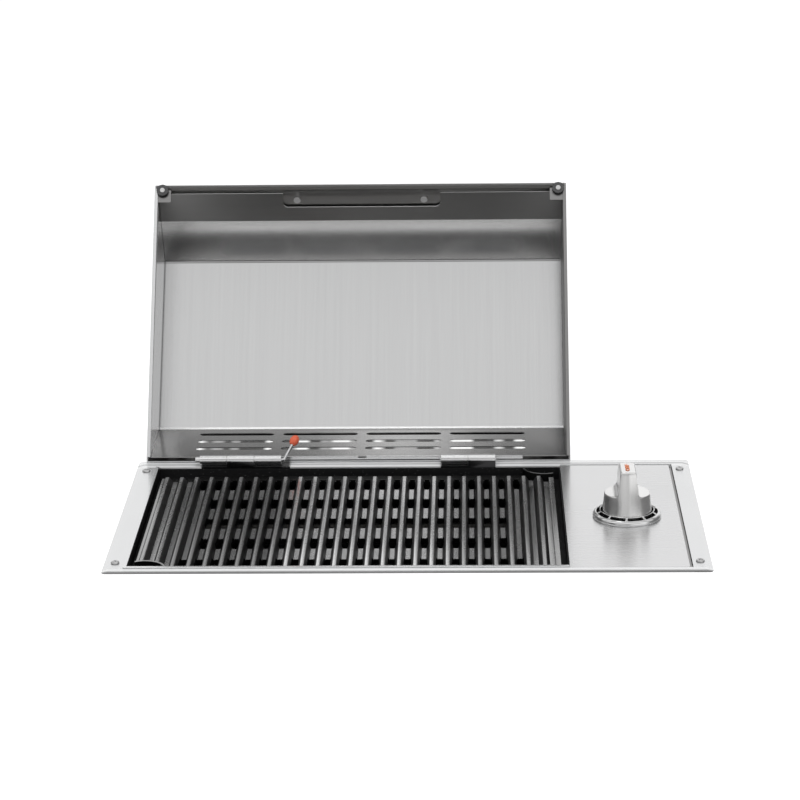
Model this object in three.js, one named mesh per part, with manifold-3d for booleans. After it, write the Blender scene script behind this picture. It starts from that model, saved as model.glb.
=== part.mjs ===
// Built-in electric grill with a hinged lid, in millimetres, +Z up.
// The origin lies on the housing's flat underside, below the centre of the trim frame.
// Heights inside the group "grill" are counted from the worktop's surface.
import * as THREE from 'three';
import { mergeVertices } from 'three/addons/utils/BufferGeometryUtils.js';
import Module from 'manifold-3d';

const wasm = await Module();
wasm.setup();

// Driving sizes of the frame and its two openings
const frameWidth = 533.4;
const frameDepth = 304.8;
const frameRise = 2.4;
const frameEdge = 0.6;
const frameBevel = 6.5;
const frameCorner = 4;
const leftStrip = 20.2;
const frontStrip = 8.9;
const backStrip = 22.4;
const rightStrip = 17.2;
const panelSpan = 107.2;
const panelFrontStrip = 6.9;
const panelBackStrip = 17.8;
const skirtSheet = 1;
const skirtDepth = 12;

// Clearances: between resting faces, beside fitted sheets, past moving pieces, and for cuts
const rest = 0.2;
const fit = 0.3;
const running = 0.2;
const overrun = 5;

// Grid that corners are rounded to
const grid = 0.002;

// Housing below the worktop
const housingDepth = 95;
const housingSheet = 1;

// Tessellation counts
const ringSides = 30;
const fineSides = 18;
const pinSides = 12;
const bendSteps = 4;
const slotSteps = 3;

const frameLeft = -frameWidth / 2;
const frameRight = frameWidth / 2;
const frameFront = -frameDepth / 2;
const frameBack = frameDepth / 2;
const openLeft = frameLeft + leftStrip;
const openFront = frameFront + frontStrip;
const openBack = frameBack - backStrip;
const panelOpenRight = frameRight - rightStrip;
const openRight = panelOpenRight - panelSpan;
const panelOpenFront = frameFront + panelFrontStrip;
const panelOpenBack = frameBack - panelBackStrip;

// Materials
function finish(color, roughness, metalness) {
  return new THREE.MeshStandardMaterial({ color, roughness, metalness });
}

const finishes = {
  steel: finish(0xc9cacb, 0.32, 1),
  liner: finish(0xb4b6b8, 0.38, 1),
  dullSteel: finish(0x8b8d90, 0.5, 1),
  chrome: finish(0xd9dadb, 0.12, 1),
  coated: finish(0x2b2b2d, 0.55, 0.3),
  enamel: finish(0x151516, 0.4, 0.2),
  rubber: finish(0x6f7072, 0.85, 0),
  red: finish(0xd9452b, 0.5, 0),
  orange: finish(0xe8692f, 0.6, 0),
  element: finish(0x3d3b3a, 0.6, 0.8),
  ceramic: finish(0xe9e5da, 0.7, 0),
  plastic: finish(0x1d1d1f, 0.6, 0),
  brass: finish(0xb89a4e, 0.35, 1),
  wire: finish(0x8a2f25, 0.7, 0),
};

// Triangles with three different corners, after corners closer than the grid are made one
function cleanMesh(geometry) {
  const bare = geometry.index ? geometry.toNonIndexed() : geometry;
  bare.deleteAttribute('normal');
  bare.deleteAttribute('uv');
  const { array } = bare.attributes.position;
  array.forEach((value, i) => {
    array[i] = Math.round(value / grid) * grid;
  });
  const merged = mergeVertices(bare, grid / 2);
  const corners = merged.index.array;
  const kept = [];
  for (let i = 0; i < corners.length; i += 3) {
    const [a, b, c] = [corners[i], corners[i + 1], corners[i + 2]];
    if (a !== b && b !== c && c !== a) {
      kept.push(a, b, c);
    }
  }
  return { positions: new Float32Array(merged.attributes.position.array), triangles: kept };
}

// Solid from a closed geometry
function solidOf(geometry) {
  const { positions, triangles } = cleanMesh(geometry);
  return new wasm.Manifold(new wasm.Mesh({
    numProp: 3,
    vertProperties: positions,
    triVerts: new Uint32Array(triangles),
  }));
}

function join(solids) {
  return solids.reduce((whole, next) => whole.add(next));
}

function cut(solid, tools) {
  return tools.reduce((whole, tool) => whole.subtract(tool), solid);
}

// Box between two corners
function block(x0, x1, y0, y1, z0, z1) {
  const geometry = new THREE.BoxGeometry(x1 - x0, y1 - y0, z1 - z0);
  return solidOf(geometry.translate((x0 + x1) / 2, (y0 + y1) / 2, (z0 + z1) / 2));
}

function shapeOf(outline) {
  return new THREE.Shape(outline.map(([x, y]) => new THREE.Vector2(x, y)));
}

function extruded(outline, depth) {
  return new THREE.ExtrudeGeometry(shapeOf(outline), { depth, bevelEnabled: false });
}

const axisX = new THREE.Vector3(1, 0, 0);
const axisY = new THREE.Vector3(0, 1, 0);
const axisZ = new THREE.Vector3(0, 0, 1);

// Outline in X and Y, standing between two heights
function upright(outline, z0, z1) {
  return solidOf(extruded(outline, z1 - z0).translate(0, 0, z0));
}

// Outline in Y and Z, running along X
function alongX(outline, x0, x1) {
  const turn = new THREE.Matrix4().makeBasis(axisY, axisZ, axisX);
  return solidOf(extruded(outline, x1 - x0).applyMatrix4(turn).translate(x0, 0, 0));
}

// Outline in X and Z, running along Y
function alongY(outline, y0, y1) {
  const turn = new THREE.Matrix4().makeBasis(axisX, axisZ, axisY.clone().negate());
  return solidOf(extruded(outline, y1 - y0).applyMatrix4(turn).translate(0, y1, 0));
}

// Round bar between two points
function rod(radius, from, to, sides = pinSides) {
  const start = new THREE.Vector3(...from);
  const run = new THREE.Vector3(...to).sub(start);
  const length = run.length();
  const turn = new THREE.Quaternion().setFromUnitVectors(axisY, run.normalize());
  const geometry = new THREE.CylinderGeometry(radius, radius, length, sides);
  geometry.translate(0, length / 2, 0).applyQuaternion(turn);
  return solidOf(geometry.translate(start.x, start.y, start.z));
}

// Revolved profile of radius and height about a vertical axis
function turned(profile, x, y, z, sides = fineSides) {
  const points = profile.map(([radius, height]) => new THREE.Vector2(radius, height));
  const geometry = new THREE.LatheGeometry(points, sides).rotateX(Math.PI / 2);
  return solidOf(geometry.translate(x, y, z));
}

// Round bar along a chain of points, mitred at each of them
function swept(points, radius, sides) {
  const path = points.map((point) => new THREE.Vector3(...point));
  const runs = path.slice(1).map((point, i) => point.clone().sub(path[i]).normalize());
  const turn = new THREE.Quaternion().setFromUnitVectors(axisZ, runs[0]);
  const positions = [];
  let ring = [];
  for (let i = 0; i < sides; i += 1) {
    const angle = (i / sides) * 2 * Math.PI;
    const corner = new THREE.Vector3(radius * Math.cos(angle), radius * Math.sin(angle), 0);
    ring.push(corner.applyQuaternion(turn).add(path[0]));
  }
  const triangles = [];
  path.forEach((point, level) => {
    if (level > 0) {
      const run = runs[level - 1];
      const facing = run.clone().add(runs[level] ?? run).normalize();
      ring = ring.map((corner) => {
        const gap = facing.dot(point.clone().sub(corner)) / facing.dot(run);
        return corner.clone().addScaledVector(run, gap);
      });
      for (let i = 0; i < sides; i += 1) {
        const a = (level - 1) * sides + i;
        const b = (level - 1) * sides + ((i + 1) % sides);
        triangles.push(a, b, b + sides, a, b + sides, a + sides);
      }
    }
    ring.forEach((corner) => positions.push(...corner.toArray()));
  });
  const last = (path.length - 1) * sides;
  for (let i = 2; i < sides; i += 1) {
    triangles.push(0, i, i - 1, last, last + i - 1, last + i);
  }
  const geometry = new THREE.BufferGeometry();
  geometry.setAttribute('position', new THREE.Float32BufferAttribute(positions, 3));
  geometry.setIndex(triangles);
  return solidOf(geometry);
}

// Points of a bend between two straight runs that meet at a corner
function bend(from, corner, to, reach, steps = bendSteps) {
  const middle = new THREE.Vector3(...corner);
  const start = new THREE.Vector3(...from).sub(middle).setLength(reach).add(middle);
  const end = new THREE.Vector3(...to).sub(middle).setLength(reach).add(middle);
  const curve = new THREE.QuadraticBezierCurve3(start, middle, end);
  return curve.getPoints(steps).map((point) => point.toArray());
}

// Rectangle with rounded corners
function roundedRectangle(x0, x1, y0, y1, radius, steps = bendSteps) {
  const corners = [
    [x1 - radius, y0 + radius, -Math.PI / 2],
    [x1 - radius, y1 - radius, 0],
    [x0 + radius, y1 - radius, Math.PI / 2],
    [x0 + radius, y0 + radius, Math.PI],
  ];
  const outline = [];
  for (const [x, y, start] of corners) {
    for (let i = 0; i <= steps; i += 1) {
      const angle = start + (i / steps) * (Math.PI / 2);
      outline.push([x + radius * Math.cos(angle), y + radius * Math.sin(angle)]);
    }
  }
  return outline;
}

// Solid through outlines of equal point counts, stacked at rising heights
function lofted(levels) {
  const count = levels[0].outline.length;
  const positions = levels.flatMap(({ outline, z }) => outline.flatMap(([x, y]) => [x, y, z]));
  const triangles = [];
  for (let level = 0; level + 1 < levels.length; level += 1) {
    for (let i = 0; i < count; i += 1) {
      const a = level * count + i;
      const b = level * count + ((i + 1) % count);
      triangles.push(a, b, b + count, a, b + count, a + count);
    }
  }
  const capOf = (outline) => THREE.ShapeUtils.triangulateShape(
    outline.map(([x, y]) => new THREE.Vector2(x, y)), []);
  const top = (levels.length - 1) * count;
  capOf(levels[0].outline).forEach(([a, b, c]) => triangles.push(c, b, a));
  capOf(levels.at(-1).outline).forEach(([a, b, c]) => triangles.push(top + a, top + b, top + c));
  const geometry = new THREE.BufferGeometry();
  geometry.setAttribute('position', new THREE.Float32BufferAttribute(positions, 3));
  geometry.setIndex(triangles);
  return solidOf(geometry);
}

// Path with its inner corners rounded
function roundedPath(points, radius, steps = bendSteps) {
  const path = [points[0]];
  for (let i = 1; i + 1 < points.length; i += 1) {
    const corner = new THREE.Vector2(...points[i]);
    const before = new THREE.Vector2(...points[i - 1]).sub(corner).normalize();
    const after = new THREE.Vector2(...points[i + 1]).sub(corner).normalize();
    const half = Math.acos(THREE.MathUtils.clamp(before.dot(after), -1, 1)) / 2;
    const reach = radius / Math.tan(half);
    const start = corner.clone().addScaledVector(before, reach);
    const end = corner.clone().addScaledVector(after, reach);
    const curve = new THREE.QuadraticBezierCurve(start, corner, end);
    curve.getPoints(steps).forEach((point) => path.push([point.x, point.y]));
  }
  path.push(points.at(-1));
  return path;
}

// Path moved sideways, to the right of its direction when distance is above zero
function offsetPath(path, distance) {
  return path.map((point, i) => {
    const here = new THREE.Vector2(...point);
    const normals = [];
    if (i > 0) {
      const run = here.clone().sub(new THREE.Vector2(...path[i - 1])).normalize();
      normals.push(new THREE.Vector2(run.y, -run.x));
    }
    if (i + 1 < path.length) {
      const run = new THREE.Vector2(...path[i + 1]).sub(here).normalize();
      normals.push(new THREE.Vector2(run.y, -run.x));
    }
    const sum = normals.reduce((a, b) => a.clone().add(b));
    const reach = distance / sum.normalize().dot(normals[0]);
    return [here.x + sum.x * reach, here.y + sum.y * reach];
  });
}

// Sheet outline between two offsets of a path
function sheetOutline(path, near, far) {
  return [...offsetPath(path, near), ...offsetPath(path, far).reverse()];
}

// Slot outline with round ends, its long side along X or along Y
function slotOutline(x, y, length, width, isAlongY) {
  const radius = width / 2;
  const reach = length / 2 - radius;
  const outline = [];
  for (const side of [1, -1]) {
    for (let i = 0; i <= slotSteps; i += 1) {
      const angle = (i / slotSteps - side / 2) * Math.PI;
      const along = side * reach + radius * Math.cos(angle);
      const across = radius * Math.sin(angle);
      outline.push(isAlongY ? [x - across, y + along] : [x + along, y + across]);
    }
  }
  return outline;
}

function meshOf(name, solid, material) {
  const { vertProperties, triVerts } = solid.asOriginal().simplify(grid).getMesh();
  const rough = new THREE.BufferGeometry();
  rough.setAttribute('position', new THREE.BufferAttribute(vertProperties, 3));
  rough.setIndex(new THREE.BufferAttribute(triVerts, 1));
  const { positions, triangles } = cleanMesh(rough);
  const geometry = new THREE.BufferGeometry();
  geometry.setAttribute('position', new THREE.BufferAttribute(positions, 3));
  geometry.setIndex(triangles);
  geometry.computeVertexNormals();
  const mesh = new THREE.Mesh(geometry, material);
  mesh.name = name;
  return mesh;
}

const part = new THREE.Group();
const grill = new THREE.Group();
grill.position.z = housingDepth;
part.add(grill);

function place(name, solid, material, parent = grill) {
  parent.add(meshOf(name, solid, material));
}

// Hinge line and knuckles, shared by the frame and the lid
const hingeSetback = 16.9;
const barrelRadius = 5;
const barrelRise = 0.5;
const wireRadius = 1.5;
const knuckleLength = 26.1;
const knuckleGap = 0.3;
const leftHingeInset = 60.8;
const rightHingeInset = 114.8;
const hingeY = frameBack - hingeSetback;
const hingeZ = frameRise + barrelRise + barrelRadius;
const knucklePitch = knuckleLength + knuckleGap;
const leftHingeX = frameLeft + leftHingeInset;
const rightHingeX = openRight - rightHingeInset;

function knuckleAt(start, index) {
  const x0 = start + index * knucklePitch;
  return [x0, x0 + knuckleLength];
}
const [outerKnuckle, middleKnuckle, innerKnuckle] = [0, 1, 2].map((index) => (
  knuckleAt(leftHingeX, index)));
const [lidKnuckle, frameKnuckle] = [0, 1].map((index) => knuckleAt(rightHingeX, index));

// Hinge leaves on the frame
const leafSheet = 1.4;
const leafDepth = 10;
const leftLeafInset = 1.9;
const leftLeafExtra = 8.4;
const leafX = {
  left: [outerKnuckle.at(0) + leftLeafInset, innerKnuckle.at(-1) + leftLeafExtra],
  right: [lidKnuckle.at(0), frameKnuckle.at(-1)],
};
const leafFront = hingeY - barrelRadius;
const notchBack = leafFront + leafSheet + fit;

// Corner screws
const screwInsetX = 10.2;
const screwInsetFront = 21;
const screwInsetBack = 33;
const screwHoleRadius = 2.3;
const screwRadius = 2;
const screwHeadRadius = 3.8;
const screwHeadRise = 1.9;
const screwLength = 16;
const screwPlaces = {
  front_left: [frameLeft + screwInsetX, frameFront + screwInsetFront],
  front_right: [frameRight - screwInsetX, frameFront + screwInsetFront],
  back_left: [frameLeft + screwInsetX, frameBack - screwInsetBack],
  back_right: [frameRight - screwInsetX, frameBack - screwInsetBack],
};

// Trim frame: bevelled plate, hollow below its left, back and right strips, with a skirt
const recessInset = 7.5;
const recessRise = 1.2;

function buildTrimFrame() {
  const top = frameBevel;
  const topCorner = frameCorner / 2;
  const foot = roundedRectangle(frameLeft, frameRight, frameFront, frameBack, frameCorner);
  const flat = roundedRectangle(frameLeft + top, frameRight - top, frameFront + top,
    frameBack - top, topCorner);
  const plate = lofted([
    { outline: foot, z: 0 },
    { outline: foot, z: frameEdge },
    { outline: flat, z: frameRise },
  ]);
  const openings = [
    block(openLeft, openRight, openFront, openBack, -overrun, frameRise + overrun),
    block(openRight, panelOpenRight, panelOpenFront, panelOpenBack, -overrun, frameRise + overrun),
  ];
  const recessFront = openFront;
  const recesses = [
    block(frameLeft + recessInset, openLeft - skirtSheet, recessFront, frameBack - recessInset,
      -overrun, recessRise),
    block(panelOpenRight + skirtSheet, frameRight - recessInset, recessFront,
      frameBack - recessInset, -overrun, recessRise),
    block(openLeft - skirtSheet, panelOpenRight + skirtSheet, panelOpenBack + skirtSheet,
      frameBack - recessInset, -overrun, recessRise),
  ];
  const skirts = [
    block(openLeft - skirtSheet, openLeft, openFront - skirtSheet, openBack + skirtSheet,
      -skirtDepth, recessRise),
    block(openLeft - skirtSheet, openRight - fit, openFront - skirtSheet, openFront,
      -skirtDepth, recessRise),
    block(openLeft - skirtSheet, openRight - skirtSheet, openBack, openBack + skirtSheet,
      -skirtDepth, recessRise),
    block(openRight + skirtSheet, panelOpenRight + skirtSheet, panelOpenBack,
      panelOpenBack + skirtSheet, -skirtDepth, recessRise),
    block(panelOpenRight, panelOpenRight + skirtSheet, openFront,
      panelOpenBack + skirtSheet, -skirtDepth, recessRise),
  ];
  const leafNotches = Object.values(leafX).map(([x0, x1]) => block(x0 - fit, x1 + fit,
    openBack - overrun, notchBack, -skirtDepth - overrun, frameRise + overrun));
  const setbacks = Object.values(leafX).map(([x0, x1]) => block(x0 - fit - skirtSheet,
    x1 + fit + skirtSheet, notchBack, notchBack + skirtSheet, -skirtDepth, recessRise));
  const holes = Object.values(screwPlaces).map(([x, y]) => rod(screwHoleRadius,
    [x, y, -overrun], [x, y, frameRise + overrun]));
  const sheet = cut(plate, [...recesses, ...openings]);
  return cut(join([cut(join([sheet, ...skirts]), leafNotches), ...setbacks]), holes);
}
place('trim_frame', buildTrimFrame(), finishes.steel);

// Gasket strips in the frame's hollow strips
const gasketThickness = 1;
const gasketEndGap = 6;
const housingLeft = openLeft - skirtSheet - fit - housingSheet;
const housingRight = panelOpenRight + skirtSheet + fit + housingSheet;
const housingFront = openFront - skirtSheet - fit - housingSheet;
const housingBack = panelOpenBack + skirtSheet + fit + housingSheet;
const gasketFront = frameFront + screwInsetFront + screwHeadRadius + gasketEndGap;
const gasketBack = frameBack - screwInsetBack - screwHeadRadius - gasketEndGap;
const gasketOuter = recessInset + fit;
place('gasket_left', block(frameLeft + gasketOuter, housingLeft - fit, gasketFront, gasketBack,
  0, gasketThickness), finishes.rubber);
place('gasket_right', block(housingRight + fit, frameRight - gasketOuter, gasketFront, gasketBack,
  0, gasketThickness), finishes.rubber);
place('gasket_back', block(openLeft, panelOpenRight, housingBack + fit, frameBack - gasketOuter,
  0, gasketThickness), finishes.rubber);

for (const [where, [x, y]] of Object.entries(screwPlaces)) {
  const head = [
    [0, frameRise + rest],
    [screwHeadRadius, frameRise + rest],
    [screwHeadRadius * 0.92, frameRise + rest + screwHeadRise * 0.6],
    [screwHeadRadius * 0.6, frameRise + rest + screwHeadRise],
    [0, frameRise + rest + screwHeadRise],
  ];
  const shank = rod(screwRadius, [x, y, -screwLength], [x, y, frameRise + rest + screwHeadRise / 2]);
  place(`corner_screw_${where}`, join([turned(head, x, y, 0, pinSides), shank]), finishes.dullSteel);
}

// Housing: folded box under the frame, vented low on the control side
const ventWidth = 4;
const ventLength = 36;
const ventPitch = 11;
const ventCount = 5;
const ventHeight = 22;
const glandY = 72;
const glandHeight = 37;
const glandZ = glandHeight - housingDepth;
const glandBoltRadius = 9.6;

function buildHousing() {
  const topZ = -fit;
  const outer = upright(roundedRectangle(housingLeft, housingRight, housingFront, housingBack,
    frameCorner / 2), -housingDepth, topZ);
  const inner = block(housingLeft + housingSheet, housingRight - housingSheet,
    housingFront + housingSheet, housingBack - housingSheet, -housingDepth + housingSheet,
    topZ + overrun);
  const vents = [];
  for (let i = 0; i < ventCount; i += 1) {
    const y = (i - (ventCount - 1) / 2) * ventPitch - ventLength;
    const z = -housingDepth + ventHeight;
    vents.push(block(housingRight - overrun, housingRight + overrun, y - ventWidth / 2,
      y + ventWidth / 2, z - ventLength / 3, z + ventLength / 3));
  }
  const glandHole = rod(glandBoltRadius + fit, [housingRight - overrun, glandY, glandZ],
    [housingRight + overrun, glandY, glandZ], fineSides);
  return cut(outer, [inner, ...vents, glandHole]);
}
place('housing', buildHousing(), finishes.dullSteel);

// Control panel: plate with a round hole for the knob and three turned-down flanges
const panelSheet = 1.2;
const panelFlange = 12;
const panelGrooveRight = 2.8;
const panelGrooveBack = 3.6;
const knobInset = 47.8;
const knobForward = 13;
const knobHoleRadius = 5.4;
const panelLeft = openRight;
const panelRight = panelOpenRight - panelGrooveRight;
const panelFront = panelOpenFront + fit;
const panelBack = panelOpenBack - panelGrooveBack;
const panelUnder = frameRise - panelSheet;
const knobX = panelRight - knobInset;
const knobY = -knobForward;

function buildControlPanel() {
  const plate = upright(roundedRectangle(panelLeft, panelRight, panelFront, panelBack,
    panelSheet), panelUnder, frameRise);
  const sideBack = panelBack - panelSheet - fit;
  const flangeFoot = panelUnder - panelFlange;
  const flangeTop = frameRise - panelSheet / 2;
  const flanges = [
    block(panelLeft, panelLeft + panelSheet, openFront + fit, sideBack, flangeFoot, flangeTop),
    block(panelRight - panelSheet, panelRight, openFront + fit, sideBack, flangeFoot, flangeTop),
    block(panelLeft + panelSheet + fit, panelRight - panelSheet - fit, panelBack - panelSheet,
      panelBack, flangeFoot, flangeTop),
  ];
  const hole = rod(knobHoleRadius, [knobX, knobY, -overrun], [knobX, knobY, frameRise + overrun],
    fineSides);
  return cut(join([plate, ...flanges]), [hole]);
}
place('control_panel', buildControlPanel(), finishes.steel);

// Grill plate: ribs along Y over a slotted floor, with two finger notches
const ribPitch = 14.23;
const ribFootWidth = 10.1;
const ribTopWidth = 4.2;
const ribTopEase = 0.6;
const ribHeight = 6.9;
const ribTop = 0.6;
const plateFloor = 4;
const slotMargin = 29;
const slotWidth = 6.6;
const slotLength = 27.5;
const slotRowPitch = 53.5;
const slotShift = 2.6;
const notchRadius = 18;
const notchInset = 9;
const notchBeyond = 0.6;
const notchRim = 2.2;
const notchRimRise = 1;
const rimWidth = 4.4;
const rimDrop = 2.2;
const ribBackSetback = 17;
const ribEndRun = 5;
const fireSheet = 1;
const plateGapLeft = 5.2;
const plateGapRight = 5.8;
const plateGapFront = 0.5;

const fireLeft = openLeft + fit;
const fireRight = panelLeft - fit;
const fireFront = openFront + fit;
const fireBack = openBack - fit;
const plateLeft = fireLeft + fireSheet + plateGapLeft;
const plateRight = fireRight - fireSheet - plateGapRight;
const plateFront = fireFront + fireSheet + plateGapFront;
const plateBack = fireBack - fireSheet - plateGapFront;
const plateMidX = (plateLeft + plateRight) / 2;
const plateMidY = (plateFront + plateBack) / 2;
const slotColumns = Math.floor((plateRight - plateLeft - slotMargin * 2) / ribPitch);
const slotRows = Math.floor((plateBack - plateFront) / slotRowPitch);
const troughZ = ribTop - ribHeight;
const plateUnder = troughZ - plateFloor;

function ribOutline(x) {
  const foot = ribFootWidth / 2;
  const crown = ribTopWidth / 2;
  return [
    [x + foot, troughZ - plateFloor / 2],
    [x + foot, troughZ],
    [x + crown, ribTop - ribTopEase],
    [x + crown - ribTopEase, ribTop],
    [x - crown + ribTopEase, ribTop],
    [x - crown, ribTop - ribTopEase],
    [x - foot, troughZ],
    [x - foot, troughZ - plateFloor / 2],
  ];
}

function buildGrillPlate() {
  const firstX = plateMidX + slotShift - ((slotColumns - 1) / 2) * ribPitch;
  const floorRing = roundedRectangle(plateLeft, plateRight, plateFront, plateBack, rimWidth);
  const pieces = [upright(floorRing, plateUnder, troughZ)];
  const ribBack = plateBack - ribBackSetback;
  const ribCount = slotColumns + 5;
  for (let i = 0; i < ribCount; i += 1) {
    const x = firstX + (i - 3 + 1 / 2) * ribPitch;
    if (x - ribTopWidth / 2 > plateLeft && x + ribTopWidth / 2 < plateRight) {
      pieces.push(alongY(ribOutline(x), plateFront, ribBack));
    }
  }
  for (const [x0, x1] of [[plateLeft, plateLeft + rimWidth], [plateRight - rimWidth, plateRight]]) {
    pieces.push(block(x0, x1, plateFront + rimWidth, ribBack, plateUnder, ribTop - rimDrop));
  }
  const taperFoot = troughZ + ribHeight / 4;
  const taper = alongX([
    [ribBack - ribEndRun, ribTop],
    [ribBack + overrun, taperFoot - overrun * (ribTop - taperFoot) / ribEndRun],
    [ribBack + overrun, ribTop + overrun],
    [ribBack - ribEndRun, ribTop + overrun],
  ], plateLeft - overrun, plateRight + overrun);
  const band = block(plateLeft, plateRight, ribBack, plateBack, troughZ, ribTop + overrun);
  let plate = join(pieces).subtract(taper.subtract(band));
  const notches = [
    [plateLeft + notchInset, plateFront - notchBeyond],
    [plateRight - notchInset, plateBack + notchBeyond],
  ];
  const limits = upright(floorRing, plateUnder, ribTop + notchRimRise);
  for (const [x, y] of notches) {
    const rimTop = ribTop + notchRimRise;
    const wall = rod(notchRadius + notchRim, [x, y, plateUnder], [x, y, rimTop], fineSides * 2);
    plate = plate.add(wall.intersect(limits));
    plate = plate.subtract(rod(notchRadius, [x, y, plateUnder - overrun],
      [x, y, rimTop + overrun], fineSides * 2));
  }
  const slots = [];
  for (let row = 0; row < slotRows; row += 1) {
    const atEdge = row === 0 || row === slotRows - 1;
    const first = atEdge ? 0 : 1;
    const last = atEdge ? slotColumns : slotColumns - 1;
    const y = plateMidY + (row - (slotRows - 1) / 2) * slotRowPitch;
    for (let column = first; column < last; column += 1) {
      const x = firstX + column * ribPitch;
      slots.push(upright(slotOutline(x, y, slotLength, slotWidth, true),
        plateUnder - overrun, troughZ + ribHeight / 2));
    }
  }
  return cut(plate, [join(slots)]);
}
const grillPlate = buildGrillPlate();
place('grill_plate', grillPlate, finishes.coated);

// Firebox: black pan that hangs by its front and left rim on the frame
const rimReach = 1.9;
const rimSheet = 1;
const ledgeLeft = 9;
const ledgeFront = 4;
const ledgeBack = 6;
const fireDepth = 62;
const ledgeHoleRadius = 1.6;
const ledgeHoleCount = 6;
const ledgeHolePitch = 42;
const elementRadius = 3.6;
const elementMargin = 34.45;
const elementPasses = 6;
const ledgeZ = plateUnder - fit;
const elementZ = ledgeZ - fireSheet - fit * 2 - elementRadius;
const wellLeft = fireLeft + ledgeLeft + fireSheet;
const wellRight = fireRight - ledgeLeft - fireSheet;
const wellFront = fireFront + ledgeFront + fireSheet;
const wellBack = fireBack - ledgeBack - fireSheet;
const elementRun = (wellBack - wellFront) / 2 - elementMargin;
const terminalY = [plateMidY - elementRun, plateMidY + elementRun];

function buildFirebox() {
  const wallTop = frameRise - rimSheet - rest;
  const rimTop = frameRise + rest + rimSheet;
  const outer = join([
    block(fireLeft, fireRight, fireFront, fireBack, ledgeZ - fireSheet, wallTop),
    block(wellLeft - fireSheet, wellRight + fireSheet, wellFront - fireSheet,
      wellBack + fireSheet, -fireDepth - fireSheet, ledgeZ - fireSheet / 2),
    block(fireLeft, fireLeft + fireSheet, fireFront, fireBack, ledgeZ, rimTop),
    block(fireLeft, fireRight, fireFront, fireFront + fireSheet, ledgeZ, rimTop),
    block(openLeft - rimReach, fireLeft + fireSheet / 2, openFront - rimReach, fireBack,
      frameRise + rest, rimTop),
    block(openLeft - rimReach, fireRight, openFront - rimReach, fireFront + fireSheet / 2,
      frameRise + rest, rimTop),
  ]);
  const inner = [
    block(fireLeft + fireSheet, fireRight - fireSheet, fireFront + fireSheet,
      fireBack - fireSheet, ledgeZ, rimTop + overrun),
    block(wellLeft, wellRight, wellFront, wellBack, -fireDepth, ledgeZ + fireSheet),
  ];
  const holes = [];
  for (let i = 0; i < ledgeHoleCount; i += 1) {
    const y = plateMidY + (i - (ledgeHoleCount - 1) / 2) * ledgeHolePitch;
    for (const x of [fireLeft + fireSheet + plateGapLeft, fireRight - fireSheet - plateGapRight]) {
      holes.push(rod(ledgeHoleRadius, [x, y, ledgeZ - overrun], [x, y, ledgeZ + overrun / 2], 8));
    }
  }
  for (const y of terminalY) {
    holes.push(rod(elementRadius + fit, [wellRight - overrun, y, elementZ],
      [wellRight + overrun, y, elementZ]));
  }
  return cut(outer, [...inner, ...holes]);
}
place('firebox', buildFirebox(), finishes.enamel);

// Heating element: serpentine bar below the plate, its two ends in the control compartment
const elementInset = 22;
const terminalReach = 10;
const partitionGap = 1.2;
const partitionSheet = 1.2;
const partitionX = panelLeft + panelSheet + partitionGap;
const elementLeft = wellLeft + elementInset;
const elementTurn = wellRight - elementInset;
const passPitch = (2 * elementRun) / (elementPasses - 1);
const elementEnd = partitionX + partitionSheet + terminalReach;
const elementBendSteps = 6;
const elementSides = 8;

function buildElement() {
  const radius = passPitch / 2;
  const path = [[elementEnd, terminalY[0], elementZ]];
  for (let turn = 0; turn + 1 < elementPasses; turn += 1) {
    const side = turn % 2 === 0 ? -1 : 1;
    const x = side < 0 ? elementLeft + radius : elementTurn - radius;
    const y = terminalY[0] + (turn + 1 / 2) * passPitch;
    for (let i = 0; i <= elementBendSteps; i += 1) {
      const angle = (i / elementBendSteps - 1 / 2) * Math.PI;
      path.push([x + side * radius * Math.cos(angle), y + radius * Math.sin(angle), elementZ]);
    }
  }
  path.push([elementEnd, terminalY[1], elementZ]);
  return swept(path, elementRadius, elementSides);
}
place('heating_element', buildElement(), finishes.element);

// Element brackets: bars across the well, with their ends turned down beside its walls
const bracketWidth = 12;
const bracketSheet = 1.5;
const bracketTab = 12;
const bracketShares = { left: 0.22, right: 0.78 };
for (const [side, share] of Object.entries(bracketShares)) {
  const x = wellLeft + (wellRight - wellLeft) * share;
  const topZ = elementZ - elementRadius - rest;
  const path = [
    [wellFront + fit, topZ - bracketTab],
    [wellFront + fit, topZ],
    [wellBack - fit, topZ],
    [wellBack - fit, topZ - bracketTab],
  ];
  const outline = sheetOutline(roundedPath(path, bracketSheet * 1.5, 3), 0, bracketSheet);
  place(`element_bracket_${side}`, alongX(outline, x - bracketWidth / 2, x + bracketWidth / 2),
    finishes.dullSteel);
}

// Element terminals: ceramic beads on the two ends of the bar
const beadRadius = 6.5;
const beadLength = 7;
for (const [where, y] of Object.entries({ front: terminalY[0], back: terminalY[1] })) {
  const x0 = elementEnd - beadLength;
  const bead = rod(beadRadius, [x0, y, elementZ], [elementEnd + beadLength / 2, y, elementZ]);
  const bore = rod(elementRadius + running, [x0 - overrun, y, elementZ],
    [elementEnd + running, y, elementZ]);
  place(`element_terminal_${where}`, cut(bead, [bore]), finishes.ceramic);
}

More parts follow.
